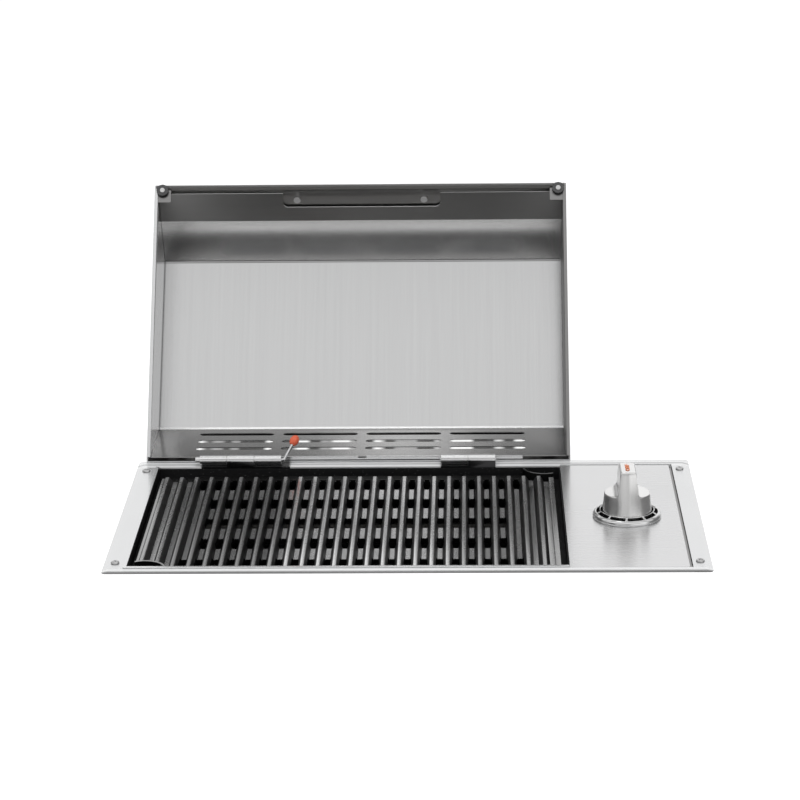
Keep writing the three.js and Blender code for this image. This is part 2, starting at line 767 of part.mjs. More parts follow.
// Heat partition between the firebox and the control compartment
const partitionFoot = 12;
function buildPartition() {
  const y0 = housingFront + housingSheet + fit;
  const y1 = panelOpenBack - fit;
  const floorZ = -housingDepth + housingSheet + rest;
  const shoulderZ = panelUnder - panelFlange - fit;
  const wall = block(partitionX, partitionX + partitionSheet, y0, y1, floorZ, shoulderZ);
  const riser = block(partitionX, partitionX + partitionSheet, openFront + panelSheet,
    panelBack - panelSheet - fit, shoulderZ - panelSheet, panelUnder - rest);
  const foot = block(partitionX, partitionX + partitionFoot, y0, y1, floorZ,
    floorZ + partitionSheet);
  const holes = terminalY.map((y) => rod(elementRadius + fit,
    [partitionX - overrun, y, elementZ], [partitionX + overrun, y, elementZ]));
  return cut(join([wall, riser, foot]), holes);
}
place('heat_partition', buildPartition(), finishes.dullSteel);

// Drip tray: drawn pan with a turned-out rim, on the firebox floor
const trayInset = 12;
const trayHeight = 20;
const traySheet = 0.8;
const trayDraft = 5;
const trayRim = 4;
const trayCorner = 12;
function trayLevel(inset, z) {
  return {
    outline: roundedRectangle(wellLeft + trayInset + inset, wellRight - trayInset - inset,
      wellFront + trayInset + inset, wellBack - trayInset - inset, trayCorner),
    z,
  };
}
function buildDripTray() {
  const floorZ = -fireDepth + rest;
  const outer = lofted([trayLevel(trayDraft, floorZ), trayLevel(0, floorZ + trayHeight)]);
  const rim = upright(trayLevel(-trayRim, 0).outline, floorZ + trayHeight - traySheet,
    floorZ + trayHeight);
  const inner = lofted([
    trayLevel(trayDraft + traySheet, floorZ + traySheet),
    trayLevel(traySheet, floorZ + trayHeight),
    trayLevel(traySheet, floorZ + trayHeight + overrun),
  ]);
  return cut(join([outer, rim]), [inner]);
}
place('drip_tray', buildDripTray(), finishes.liner);

// Knob bezel: polished roll below a band of slots that climbs to a collar round the knob
const bezelRadius = 31;
const bezelRise = 6.8;
const bezelWall = 1.2;
const bezelRoll = 4.2;
const bezelCollar = 0.8;
const knobRadius = 23.2;
const knobGap = 0.9;
const knobSink = 4.28;
const bezelSlotCount = 12;
const bezelBridgeShare = 0.12;
const bezelSlotInner = 25.2;
const bezelSlotOuter = 28.2;
const bezelZ = frameRise + rest;

function buildBezel() {
  const innerRadius = knobRadius + knobGap;
  const collarRadius = innerRadius + bezelCollar;
  const ring = turned([
    [bezelRadius - bezelWall, 0],
    [bezelRadius, 0],
    [bezelRadius + bezelWall / 3, bezelRoll / 3],
    [bezelRadius - bezelWall / 3, bezelRoll * 0.8],
    [bezelRadius - bezelWall * 1.5, bezelRoll],
    [collarRadius, bezelRise - bezelWall / 4],
    [innerRadius + bezelCollar / 2, bezelRise],
    [innerRadius, bezelRise - bezelWall / 4],
    [innerRadius, bezelRise - bezelWall * 1.5],
    [bezelSlotOuter, bezelRoll - bezelWall],
    [bezelRadius - bezelWall, bezelRoll / 2],
    [bezelRadius - bezelWall, 0],
  ], knobX, knobY, bezelZ, ringSides);
  const slots = [];
  const span = (2 * Math.PI) / bezelSlotCount;
  for (let i = 0; i < bezelSlotCount; i += 1) {
    const start = (i + bezelBridgeShare / 2) * span;
    const sweep = span * (1 - bezelBridgeShare);
    const arc = (radius, from, turn) => [0, 1 / 2, 1].map((share) => {
      const angle = from + turn * share;
      return [knobX + radius * Math.cos(angle), knobY + radius * Math.sin(angle)];
    });
    const outline = [...arc(bezelSlotOuter, start, sweep), ...arc(bezelSlotInner, start + sweep, -sweep)];
    slots.push(upright(outline, bezelZ, bezelZ + bezelRise + overrun));
  }
  return cut(ring, [join(slots)]);
}
place('knob_bezel', buildBezel(), finishes.chrome);

// Heat regulator under the panel, with its plate, nut and spindle
const regulatorSize = 44;
const regulatorHeight = 30;
const regulatorCorner = 4;
const bushRadius = 4.9;
const bushRise = 5.4;
const regulatorPlateSize = 62;
const regulatorPlateSheet = 1.5;
const spindleRadius = 3;
const spindleReach = 22;
const nutRadius = 8.2;
const nutHeight = 2.6;
const bladeWidth = 6.3;
const bladeLength = 9;
const bladeSheet = 0.8;
const bladePitch = 11;
const bladeCount = 4;

const regulatorPlateTop = panelUnder - rest;
const regulatorTop = regulatorPlateTop - regulatorPlateSheet - rest;
const knobBase = bezelZ + bezelRise - knobSink;

function buildRegulator() {
  const half = regulatorSize / 2;
  const body = upright(roundedRectangle(knobX - half, knobX + half, knobY - half, knobY + half,
    regulatorCorner), regulatorTop - regulatorHeight, regulatorTop);
  const bush = rod(bushRadius, [knobX, knobY, regulatorTop - rest],
    [knobX, knobY, frameRise + bushRise]);
  const blades = [];
  for (let i = 0; i < bladeCount; i += 1) {
    const x = knobX + (i - (bladeCount - 1) / 2) * bladePitch;
    blades.push(block(x - bladeSheet / 2, x + bladeSheet / 2, knobY - bladeWidth / 2,
      knobY + bladeWidth / 2, regulatorTop - regulatorHeight - bladeLength,
      regulatorTop - regulatorHeight + bladeSheet));
  }
  const bore = rod(spindleRadius + running, [knobX, knobY, regulatorTop - regulatorHeight / 2],
    [knobX, knobY, frameRise + bushRise + overrun]);
  return cut(join([body, bush, ...blades]), [bore]);
}
place('heat_regulator', buildRegulator(), finishes.plastic);

function buildRegulatorPlate() {
  const half = regulatorPlateSize / 2;
  const plate = upright(roundedRectangle(knobX - half, knobX + half, knobY - half, knobY + half,
    regulatorCorner), regulatorPlateTop - regulatorPlateSheet, regulatorPlateTop);
  return cut(plate, [rod(knobHoleRadius, [knobX, knobY, -overrun * 2], [knobX, knobY, overrun])]);
}
place('regulator_plate', buildRegulatorPlate(), finishes.dullSteel);

const nutBody = rod(nutRadius, [knobX, knobY, frameRise + rest],
  [knobX, knobY, frameRise + rest + nutHeight], 6);
place('regulator_nut', cut(nutBody, [rod(bushRadius + running,
  [knobX, knobY, -overrun], [knobX, knobY, frameRise + bushRise + overrun])]), finishes.brass);

const spindleBottom = regulatorTop - regulatorHeight / 2 + running;
place('regulator_spindle', rod(spindleRadius, [knobX, knobY, spindleBottom],
  [knobX, knobY, knobBase + spindleReach]), finishes.dullSteel);

// Control knob: tapered body whose shoulders are scooped down beside a central grip
const knobHeight = 43.6;
const knobShoulder = 20.5;
const knobWaistRadius = 20.9;
const knobTopRadius = 15.8;
const gripWidth = 16.6;
const gripTopWidth = 14.8;
const scoopRadius = 7;
const knobEdge = 1.2;
const markLength = 21;
const markWidth = 4.6;
const markThickness = 0.4;

function buildKnob() {
  const body = turned([
    [0, 0],
    [knobRadius - knobEdge / 2, 0],
    [knobRadius, knobEdge],
    [knobRadius - knobEdge, knobShoulder / 2],
    [knobWaistRadius, knobShoulder],
    [(knobWaistRadius + knobTopRadius) / 2 + knobEdge / 2, (knobShoulder + knobHeight) / 2],
    [knobTopRadius + knobEdge / 2, knobHeight - knobEdge],
    [knobTopRadius - knobEdge / 2, knobHeight],
    [0, knobHeight],
  ], knobX, knobY, knobBase, ringSides);
  const scoops = [-1, 1].map((side) => {
    const outline = [];
    for (let i = 0; i <= bendSteps * 2; i += 1) {
      const angle = (i / (bendSteps * 2)) * (Math.PI / 2);
      outline.push([
        gripWidth / 2 + scoopRadius - scoopRadius * Math.cos(angle),
        knobShoulder + scoopRadius / 2 - scoopRadius / 2 * Math.sin(angle),
      ]);
    }
    outline.push([knobRadius + overrun, knobShoulder - knobEdge]);
    outline.push([knobRadius + overrun, knobHeight + overrun]);
    outline.push([gripTopWidth / 2, knobHeight + overrun]);
    outline.push([gripTopWidth / 2, knobHeight]);
    const placed = outline.map(([x, z]) => [knobX + side * x, knobBase + z]);
    const ordered = THREE.ShapeUtils.isClockWise(placed.map(([x, z]) => new THREE.Vector2(x, z)))
      ? placed.reverse() : placed;
    return alongY(ordered, knobY - knobRadius - overrun, knobY + knobRadius + overrun);
  });
  const bore = rod(spindleRadius + running, [knobX, knobY, knobBase - overrun],
    [knobX, knobY, knobBase + spindleReach + running]);
  const nutRoom = rod(nutRadius + knobEdge, [knobX, knobY, knobBase - overrun],
    [knobX, knobY, frameRise + bushRise + knobEdge]);
  return cut(body, [...scoops, bore, nutRoom]);
}
place('control_knob', buildKnob(), finishes.steel);

const markZ = knobBase + knobHeight + running;
place('knob_mark', upright(roundedRectangle(knobX - markWidth / 2, knobX + markWidth / 2,
  knobY - markLength / 2, knobY + markLength / 2, markWidth / 3), markZ, markZ + markThickness),
finishes.orange);

// Terminal block on the floor, cable gland in the right wall and the wires between them
const blockLength = 40;
const blockWidth = 22;
const blockHeight = 18;
const blockSetback = 52.8;
const blockForward = 6;
const terminalBlockX = housingRight - housingSheet - blockSetback - blockWidth;
const terminalBlockY = glandY - blockForward;
const screwWell = 4;
const blockCells = 3;

function buildTerminalBlock() {
  const floorZ = -housingDepth + housingSheet + rest;
  const x0 = terminalBlockX;
  const y0 = terminalBlockY - blockLength / 2;
  const base = block(x0, x0 + blockWidth, y0, y0 + blockLength, floorZ, floorZ + blockHeight);
  const cell = blockLength / blockCells;
  const tools = [];
  for (let i = 0; i < blockCells; i += 1) {
    const y = y0 + (i + 1 / 2) * cell;
    tools.push(rod(screwWell, [x0 + blockWidth / 2, y, floorZ + blockHeight / 2],
      [x0 + blockWidth / 2, y, floorZ + blockHeight + overrun], 8));
  }
  for (let i = 1; i < blockCells; i += 1) {
    const y = y0 + i * cell;
    tools.push(block(x0 - overrun, x0 + blockWidth + overrun, y - running * 2, y + running * 2,
      floorZ + blockHeight * 2 / 3, floorZ + blockHeight + overrun));
  }
  return cut(base, tools);
}
place('terminal_block', buildTerminalBlock(), finishes.ceramic);

const glandFlangeRadius = 13;
const glandFlange = 4;
const glandReach = 14;
const glandBore = 4.5;
const glandNut = 12.5;
const glandNutWidth = 6;
function buildGland() {
  const wall = housingRight;
  const flange = rod(glandFlangeRadius, [wall + rest, glandY, glandZ],
    [wall + rest + glandFlange, glandY, glandZ], fineSides);
  const barrel = rod(glandBoltRadius, [wall - glandReach, glandY, glandZ],
    [wall + glandFlange / 2, glandY, glandZ], fineSides);
  const bore = rod(glandBore, [wall - glandReach - overrun, glandY, glandZ],
    [wall + glandFlange + overrun, glandY, glandZ]);
  return cut(join([flange, barrel]), [bore]);
}
place('cable_gland', buildGland(), finishes.plastic);

const nutX = housingRight - housingSheet - rest;
place('gland_nut', cut(rod(glandNut, [nutX - glandNutWidth, glandY, glandZ],
  [nutX, glandY, glandZ], 6), [rod(glandBoltRadius + running,
  [nutX - glandNutWidth - overrun, glandY, glandZ], [nutX + overrun, glandY, glandZ],
  fineSides)]), finishes.plastic);

const leadRadius = 1.5;
const leadSides = 8;
const leadGap = 0.4;
const leadStart = 5;
const leadRise = 12;
const bladeTip = regulatorTop - regulatorHeight - bladeLength - leadGap;
const blockTop = -housingDepth + housingSheet + rest + blockHeight;
const cellPitch = blockLength / blockCells;
const blockMidX = terminalBlockX + blockWidth / 2;
const beadEnd = elementEnd + beadLength / 2 + leadGap;
const leads = {
  lead_front_element: [
    [beadEnd, terminalY[0], elementZ],
    [beadEnd + leadStart, terminalY[0], elementZ],
    [beadEnd + leadStart + leadRise, terminalY[0] + leadRise, elementZ - leadRise * 2],
    [knobX - bladePitch * 2.5, knobY - leadRise * 2, bladeTip - leadRise],
    [knobX - bladePitch * 1.5, knobY, bladeTip - leadStart * 2],
    [knobX - bladePitch * 1.5, knobY, bladeTip],
  ],
  lead_back_element: [
    [beadEnd, terminalY[1], elementZ],
    [beadEnd + leadStart, terminalY[1], elementZ],
    [beadEnd + leadStart + leadRise, terminalY[1] - leadRise / 2, elementZ - leadRise],
    [blockMidX, terminalBlockY + cellPitch, blockTop + leadRise],
    [blockMidX, terminalBlockY + cellPitch, blockTop + leadGap],
  ],
  lead_regulator: [
    [knobX + bladePitch / 2, knobY, bladeTip],
    [knobX + bladePitch / 2, knobY, bladeTip - leadStart],
    [blockMidX + leadRise, terminalBlockY - cellPitch - leadRise, blockTop + leadRise * 1.5],
    [blockMidX, terminalBlockY - cellPitch, blockTop + leadRise],
    [blockMidX, terminalBlockY - cellPitch, blockTop + leadGap],
  ],
};
for (const [name, points] of Object.entries(leads)) {
  place(name, swept(points, leadRadius, leadSides), finishes.wire);
}

// Hinge leaves on the frame: upright plates whose tabs roll into one knuckle each
function frameLeaf([x0, x1], [k0, k1], boreRadius) {
  const plate = block(x0, x1, leafFront, leafFront + leafSheet, -leafDepth, frameRise - running);
  const tab = block(k0, k1, leafFront, leafFront + leafSheet, 0, hingeZ);
  const barrel = rod(barrelRadius, [k0, hingeY, hingeZ], [k1, hingeY, hingeZ], fineSides);
  const bore = rod(boreRadius, [k0 - overrun, hingeY, hingeZ], [k1 + overrun, hingeY, hingeZ]);
  return cut(join([plate, tab, barrel]), [bore]);
}
place('frame_leaf_left', frameLeaf(leafX.left, middleKnuckle, wireRadius + running),
  finishes.steel);
place('frame_leaf_right', frameLeaf(leafX.right, frameKnuckle, wireRadius + running / 2),
  finishes.steel);

const fixedPinLap = 1;
place('fixed_hinge_pin', rod(wireRadius, [lidKnuckle[0] - fixedPinLap, hingeY, hingeZ],
  [frameKnuckle[1] + fixedPinLap, hingeY, hingeZ]), finishes.dullSteel);

// Lid, set out closed with the hinge line as its origin: Y to the back, Z up
const openAngle = 126.5;
const lidOverhangLeft = 7.7;
const lidOverhangRight = 10.4;
const lidSheet = 1;
const linerSheet = 0.8;
const wallSpace = 4;
const wallLean = 52.9;
const wallLength = 85.8;
const frontRun = 47.9;
const linerFrontGap = 2.4;
const slopeLean = 62.8;
const slopeLength = 53.6;
const lipLean = 52.7;
const bendRadius = 3;
const wallForward = 6.87;
const wallRise = 10.46;
const wallTuck = 4.1;
const frontOverhang = 1.5;
const frontGap = 4.2;
const wallStart = [-wallForward, wallRise];
const frontEdge = [frameFront - frontOverhang - hingeY, frameRise + frontGap - hingeZ];

const lid = new THREE.Group();
lid.position.set(0, hingeY, hingeZ);
lid.rotation.x = -THREE.MathUtils.degToRad(openAngle);
grill.add(lid);

function stepFrom([y, z], degrees, length) {
  const angle = THREE.MathUtils.degToRad(degrees);
  return [y + length * Math.cos(angle), z + length * Math.sin(angle)];
}
const wallTop = stepFrom(wallStart, 180 - wallLean, wallLength);
const roofFront = [frontEdge[0] + frontRun + linerFrontGap, wallTop[1]];
const slopeFoot = stepFrom(roofFront, 180 + slopeLean, slopeLength);

// Where two lines meet, each given by a point and a direction in degrees
function crossing([ay, az], aDegrees, [by, bz], bDegrees) {
  const a = THREE.MathUtils.degToRad(aDegrees);
  const b = THREE.MathUtils.degToRad(bDegrees);
  const gapY = by - ay;
  const gapZ = bz - az;
  const along = (gapY * Math.sin(b) - gapZ * Math.cos(b)) / Math.sin(b - a);
  return [ay + along * Math.cos(a), az + along * Math.sin(a)];
}

const shellStart = stepFrom(stepFrom(wallStart, -wallLean + 90, wallSpace), -wallLean, wallTuck);
const shellRoofZ = wallTop[1] + wallSpace;
const shellWallTop = crossing(shellStart, 180 - wallLean, [0, shellRoofZ], 180);
const shellRoofFront = [frontEdge[0] + frontRun, shellRoofZ];
const faceAngle = THREE.MathUtils.radToDeg(Math.atan2(shellRoofFront[1] - frontEdge[1],
  shellRoofFront[0] - frontEdge[0]));
const insideFace = stepFrom(frontEdge, faceAngle - 90, lidSheet + fit + linerSheet);
const lipEnd = crossing(slopeFoot, 180 + lipLean, insideFace, faceAngle);
const mouthAngle = THREE.MathUtils.radToDeg(Math.atan2(shellStart[1] - frontEdge[1],
  shellStart[0] - frontEdge[0]));

const lidLeft = frameLeft + lidOverhangLeft;
const lidRight = openRight + lidOverhangRight;
const lidMidX = (lidLeft + lidRight) / 2;
const endSheet = 1;
const flangeWidth = 3.3;
const flangeSheet = 1;
const shellPath = roundedPath([shellStart, shellWallTop, shellRoofFront, frontEdge], bendRadius);
const linerPath = roundedPath([wallStart, wallTop, roofFront, slopeFoot, lipEnd], bendRadius);

// Vent slots in the lid's back wall, in rows across both sheets
const ventSideInset = 40.05;
const ventBridge = 7.9;
const ventShift = 1.6;
const ventSlotWidth = 7.5;
const ventColumns = 4;
const ventRows = 3;
const ventRowFirst = 17.7;
const ventRowPitch = 21.8;
const ventSlotPitch = (lidRight - lidLeft - ventSideInset * 2) / ventColumns;
const ventSlotLength = ventSlotPitch - ventBridge;

function wallSlots() {
  const up = new THREE.Vector3(0, ...stepFrom([0, 0], 180 - wallLean, 1));
  const out = new THREE.Vector3().crossVectors(axisX, up);
  const turn = new THREE.Matrix4().makeBasis(axisX, up, out);
  const tools = [];
  for (let row = 0; row < ventRows; row += 1) {
    const drop = ventRowFirst + row * ventRowPitch;
    for (let column = 0; column < ventColumns; column += 1) {
      const x = lidMidX + ventShift + (column - (ventColumns - 1) / 2) * ventSlotPitch;
      const outline = slotOutline(x, -drop, ventSlotLength, ventSlotWidth, false);
      const reach = wallSpace + overrun;
      const geometry = extruded(outline, reach * 2).translate(0, 0, -reach);
      tools.push(solidOf(geometry.applyMatrix4(turn).translate(0, ...wallTop)));
    }
  }
  return join(tools);
}

const handleSpan = 127.5;
const handleSlope = 18;
const handleScrewHole = 2.3;
const faceNormal = faceAngle + 90;
const handleFoot = stepFrom(frontEdge, faceAngle, handleSlope);

function faceRod(x, radius, from, to, sides = pinSides) {
  const [y0, z0] = stepFrom(handleFoot, faceNormal, from);
  const [y1, z1] = stepFrom(handleFoot, faceNormal, to);
  return rod(radius, [x, y0, z0], [x, y1, z1], sides);
}
const handleX = { left: lidMidX - handleSpan / 2, right: lidMidX + handleSpan / 2 };

// Outer shell: one sheet folded over back, roof and front, its front edge hemmed
const hemWidth = 5;
const shellGap = 0.2;
function buildLidShell() {
  const x0 = lidLeft + endSheet + shellGap;
  const x1 = lidRight - endSheet - shellGap;
  const sheet = alongX(sheetOutline(shellPath, -lidSheet, 0), x0, x1);
  const hemPath = [hemWidth, lidSheet].map((along) => stepFrom(frontEdge, faceAngle, along));
  const hem = alongX(sheetOutline(hemPath, -lidSheet * 2, -lidSheet / 2), x0, x1);
  const screwHoles = Object.values(handleX).map((x) => faceRod(x, handleScrewHole,
    -overrun, overrun));
  return cut(join([sheet, hem]), [wallSlots(), ...screwHoles]);
}
place('lid_shell', buildLidShell(), finishes.steel, lid);

// End plates with a narrow flange along the mouth
function buildLidEnd(isLeft) {
  const outer = isLeft ? lidLeft : lidRight;
  const inward = isLeft ? 1 : -1;
  const [x0, x1] = [outer, outer + inward * endSheet].sort((a, b) => a - b);
  const plate = alongX(shellPath.slice().reverse(), x0, x1);
  const clear = lidSheet * 3 + fit;
  const start = stepFrom(shellStart, mouthAngle + 180, clear + wallSpace / 2);
  const end = stepFrom(frontEdge, mouthAngle, clear);
  const flangeOutline = [
    start,
    stepFrom(start, mouthAngle + 90, flangeSheet),
    stepFrom(end, mouthAngle + 90, flangeSheet),
    end,
  ];
  const [f0, f1] = [outer, outer + inward * flangeWidth].sort((a, b) => a - b);
  return join([plate, alongX(flangeOutline, f0, f1)]);
}
place('lid_end_left', buildLidEnd(true), finishes.steel, lid);
place('lid_end_right', buildLidEnd(false), finishes.steel, lid);

// Inner liner with vent slots, and a notch in its lip that frees the handle's screws
const sideInset = 3.5;
const linerGap = 0.2;
const notchSide = 15.25;
const notchDepth = 16;
const notchCorner = 5;
const notchShift = 1.25;
const notchMidX = lidMidX + notchShift;
const notchWidth = handleSpan + notchSide * 2;
function buildLiner() {
  const x0 = lidLeft + sideInset + linerGap;
  const x1 = lidRight - sideInset - linerGap;
  const sheet = alongX(sheetOutline(linerPath, 0, linerSheet), x0, x1);
  const lipAngle = 180 + lipLean;
  const up = new THREE.Vector3(0, ...stepFrom([0, 0], lipAngle + 180, 1));
  const out = new THREE.Vector3().crossVectors(axisX, up);
  const outline = roundedRectangle(notchMidX - notchWidth / 2, notchMidX + notchWidth / 2,
    -overrun * 2, notchDepth, notchCorner);
  const notch = extruded(outline, overrun * 4).translate(0, 0, -overrun * 2);
  notch.applyMatrix4(new THREE.Matrix4().makeBasis(axisX, up, out)).translate(0, ...lipEnd);
  return cut(sheet, [wallSlots(), solidOf(notch)]);
}
place('lid_liner', buildLiner(), finishes.liner, lid);

function buildLinerSide(isLeft) {
  const inner = isLeft ? lidLeft + sideInset : lidRight - sideInset;
  const inward = isLeft ? 1 : -1;
  const [x0, x1] = [inner - inward * linerSheet, inner].sort((a, b) => a - b);
  return alongX(linerPath.slice().reverse(), x0, x1);
}
place('lid_liner_side_left', buildLinerSide(true), finishes.liner, lid);
place('lid_liner_side_right', buildLinerSide(false), finishes.liner, lid);

// Hinge leaf of the lid: a strip between shell and liner, with a web and three knuckles
const stubLength = 4.3;
const stripBeyond = 26.7;
const stripLeft = leftHingeX - stubLength;
const stripRight = frameKnuckle[1] + stripBeyond;
const stripNear = linerSheet + fit;
const stripFar = stripNear + leafSheet;
const stripReach = 16;
const webStart = 2.6;
const webSheet = 1.4;
const webRise = 0.9;
const webNotchShift = 4.2;
const webNotchX = lidMidX + webNotchShift;
const webNotchWidth = 8;
const stubRadius = 3.6;

function wallPoint(along, out) {
  return stepFrom(stepFrom(wallStart, 180 - wallLean, along), 90 - wallLean, out);
}
function wallBlock(x0, x1, along0, along1, out0, out1) {
  return alongX([wallPoint(along0, out0), wallPoint(along0, out1), wallPoint(along1, out1),
    wallPoint(along1, out0)], x0, x1);
}
function buildLidLeaf() {
  const strip = wallBlock(stripLeft, stripRight, -webStart, stripReach, stripNear, stripFar);
  const web = wallBlock(stripLeft, stripRight, -webStart, -webStart + webSheet,
    -webRise, stripFar);
  const notch = wallBlock(webNotchX - webNotchWidth / 2, webNotchX + webNotchWidth / 2,
    -webStart - overrun, -webStart + webSheet + running, -webRise - overrun, stripNear);
  const own = [outerKnuckle, innerKnuckle, lidKnuckle];
  const barrels = own.map(([x0, x1]) => rod(barrelRadius, [x0, 0, 0], [x1, 0, 0], fineSides));
  const linkFoot = -Math.hypot(...wallStart) + barrelRadius * 0.6;
  const links = own.map(([x0, x1]) => wallBlock(x0, x1, linkFoot, -webStart + webSheet / 2,
    stripNear, stripFar));
  const stub = rod(stubRadius, [stripLeft, 0, 0], [outerKnuckle[0] + running, 0, 0], fineSides);
  const bores = [[outerKnuckle[0], innerKnuckle[1] + overrun],
    [lidKnuckle[0] - overrun, lidKnuckle[1] + overrun]].map(([x0, x1]) => rod(
    wireRadius + running, [x0, 0, 0], [x1, 0, 0]));
  return cut(join([strip, cut(web, [notch]), ...barrels, ...links, stub]), bores);
}
place('lid_leaf', buildLidLeaf(), finishes.steel, lid);

// Bow handle on the front face, leaning up, with its two screws
const handleRadius = 4;
const handleReach = 22;
const handleStand = 6;
const handleLean = 18;
const handleBend = 10;
const screwDepth = 9;
const handleScrewHead = 3.6;
const handleScrewHeadRise = 2;
const handleScrewShank = 1.8;

function buildHandle() {
  const stand = stepFrom(handleFoot, faceNormal, handleStand);
  const bar = stepFrom(stand, faceNormal - handleLean, handleReach - handleStand);
  const foot = stepFrom(handleFoot, faceNormal, rest);
  const { left, right } = handleX;
  const path = [
    [left, ...foot],
    [left, ...stand],
    ...bend([left, ...stand], [left, ...bar], [right, ...bar], handleBend),
    ...bend([left, ...bar], [right, ...bar], [right, ...stand], handleBend),
    [right, ...stand],
    [right, ...foot],
  ];
  const bores = [left, right].map((x) => faceRod(x, handleScrewShank + running,
    -overrun, screwDepth + running));
  return cut(swept(path, handleRadius, pinSides), bores);
}
place('lid_handle', buildHandle(), finishes.steel, lid);

for (const [side, x] of Object.entries(handleX)) {
  const head = faceRod(x, handleScrewHead, -lidSheet - rest - handleScrewHeadRise,
    -lidSheet - rest);
  const shank = faceRod(x, handleScrewShank, -lidSheet - rest - handleScrewHeadRise / 2, screwDepth);
  place(`handle_screw_${side}`, join([head, shank]), finishes.chrome, lid);
}

// Corner tabs, rubber bumpers and their screws at the lid's front corners
const tabWidth = 15;
const tabDepth = 13;
const tabSheet = 1.2;
const tabSetback = 4.8;
const bumperRadius = 6;
const bumperNeck = 2.7;
const bumperStand = 0.8;
const bumperInsetX = 7.9;
const bumperScrew = 1.4;
const bumperScrewHead = 2.5;
const bumperScrewHeadRise = 1;
const bumperScrewLength = 4;
const bumperHeight = frontGap - rimSheet - rest * 2;

function buildCorner(side, outer, inward) {
  const x = outer + inward * bumperInsetX;
  const seat = flangeSheet + fit;
  const onMouth = stepFrom(frontEdge, mouthAngle, bumperRadius);
  const drop = (distance) => [x, ...stepFrom(onMouth, mouthAngle - 90, distance)];
  const near = outer + inward * (endSheet + fit);
  const [x0, x1] = [near, near + inward * tabWidth].sort((a, b) => a - b);
  const tabFoot = stepFrom(stepFrom(frontEdge, mouthAngle, tabSetback), mouthAngle + 90, seat);
  const tabBack = stepFrom(tabFoot, mouthAngle, tabDepth);
  const tab = alongX([tabFoot, stepFrom(tabFoot, mouthAngle + 90, tabSheet),
    stepFrom(tabBack, mouthAngle + 90, tabSheet), tabBack], x0, x1);
  const hole = rod(bumperScrew + running, drop(-overrun), drop(overrun * 2));
  const headSeat = bumperHeight - bumperScrewHeadRise - rest;
  const headRoom = rod(bumperScrewHead + running, drop(headSeat), drop(bumperHeight + overrun));
  const pad = join([
    rod(bumperRadius, drop(bumperStand), drop(bumperHeight)),
    rod(bumperNeck, drop(rest - seat), drop(bumperHeight / 2)),
  ]);
  const screw = join([
    rod(bumperScrew, drop(-bumperScrewLength), drop(headSeat + rest + bumperScrewHeadRise / 2)),
    rod(bumperScrewHead, drop(headSeat + rest), drop(headSeat + rest + bumperScrewHeadRise)),
  ]);
  place(`lid_tab_${side}`, cut(tab, [hole]), finishes.steel, lid);
  place(`bumper_${side}`, cut(pad, [hole, headRoom]), finishes.rubber, lid);
  place(`bumper_screw_${side}`, screw, finishes.chrome, lid);
}
buildCorner('left', lidLeft, 1);
buildCorner('right', lidRight, -1);

// Release pin of the left hinge: a wire bent up to a red cap
const pinTipGap = 0.4;
const leverBend = 2;
const leverStart = 2.2;
const leverLean = 35;
const leverReach = 23.3;
const leverSide = 9.6;
const capRadius = 4.5;
const capLength = 12.5;
const capBore = 6.5;

function buildReleasePin() {
  const bendX = innerKnuckle[1] + leverStart;
  const tip = [outerKnuckle[0] + pinTipGap, 0, 0];
  const corner = new THREE.Vector3(bendX, 0, 0);
  const [y, z] = stepFrom([0, 0], openAngle + leverLean, leverReach);
  const end = new THREE.Vector3(bendX + leverSide, y, z);
  const lever = end.clone().sub(corner).normalize();
  const path = [tip, ...bend(tip, corner.toArray(), end.toArray(), leverBend), end.toArray()];
  place('release_pin', swept(path, wireRadius, pinSides), finishes.dullSteel, lid);

  const half = capLength / 2;
  const profile = [];
  for (let i = 0; i <= bendSteps * 2; i += 1) {
    const angle = -Math.PI / 2 + (i / (bendSteps * 2)) * Math.PI;
    profile.push(new THREE.Vector2(Math.max(capRadius * Math.cos(angle), 0),
      half * Math.sin(angle)));
  }
  profile[0].x = 0;
  profile.at(-1).x = 0;
  const turn = new THREE.Quaternion().setFromUnitVectors(axisY, lever);
  const centre = end.clone().addScaledVector(lever, half - capBore + running);
  const egg = new THREE.LatheGeometry(profile, pinSides).applyQuaternion(turn);
  const body = solidOf(egg.translate(centre.x, centre.y, centre.z));
  const mouth = end.clone().addScaledVector(lever, -capLength);
  const seat = end.clone().addScaledVector(lever, running);
  const bore = rod(wireRadius + running, mouth.toArray(), seat.toArray());
  place('pin_cap', cut(body, [bore]), finishes.red, lid);
}
buildReleasePin();

export default part;
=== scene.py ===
"""Built-in electric grill with a hinged lid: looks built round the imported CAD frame."""

import logging
import math
from collections.abc import Callable, Sequence
from dataclasses import dataclass, field
from enum import Enum
from functools import cache

import bmesh
import bpy
from mathutils import Matrix, Vector


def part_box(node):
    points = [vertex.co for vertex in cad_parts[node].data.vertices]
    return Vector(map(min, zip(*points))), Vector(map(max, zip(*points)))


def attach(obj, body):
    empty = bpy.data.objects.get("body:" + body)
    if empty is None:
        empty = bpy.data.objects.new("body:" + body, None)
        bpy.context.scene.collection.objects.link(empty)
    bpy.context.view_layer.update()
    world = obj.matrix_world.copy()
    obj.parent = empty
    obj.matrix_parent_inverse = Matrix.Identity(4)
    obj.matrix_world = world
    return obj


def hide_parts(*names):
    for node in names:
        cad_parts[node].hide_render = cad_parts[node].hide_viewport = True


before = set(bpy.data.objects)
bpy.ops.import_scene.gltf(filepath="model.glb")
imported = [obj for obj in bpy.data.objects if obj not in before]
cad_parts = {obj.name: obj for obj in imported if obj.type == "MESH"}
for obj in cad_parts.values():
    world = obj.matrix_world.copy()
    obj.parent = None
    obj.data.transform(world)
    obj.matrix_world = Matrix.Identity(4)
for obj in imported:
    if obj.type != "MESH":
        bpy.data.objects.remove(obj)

LOG = logging.getLogger("grill")
MM = 0.001
DECK = 0.095  # height of the worktop above the housing's underside, in metres
MERGE = 0.002 * MM
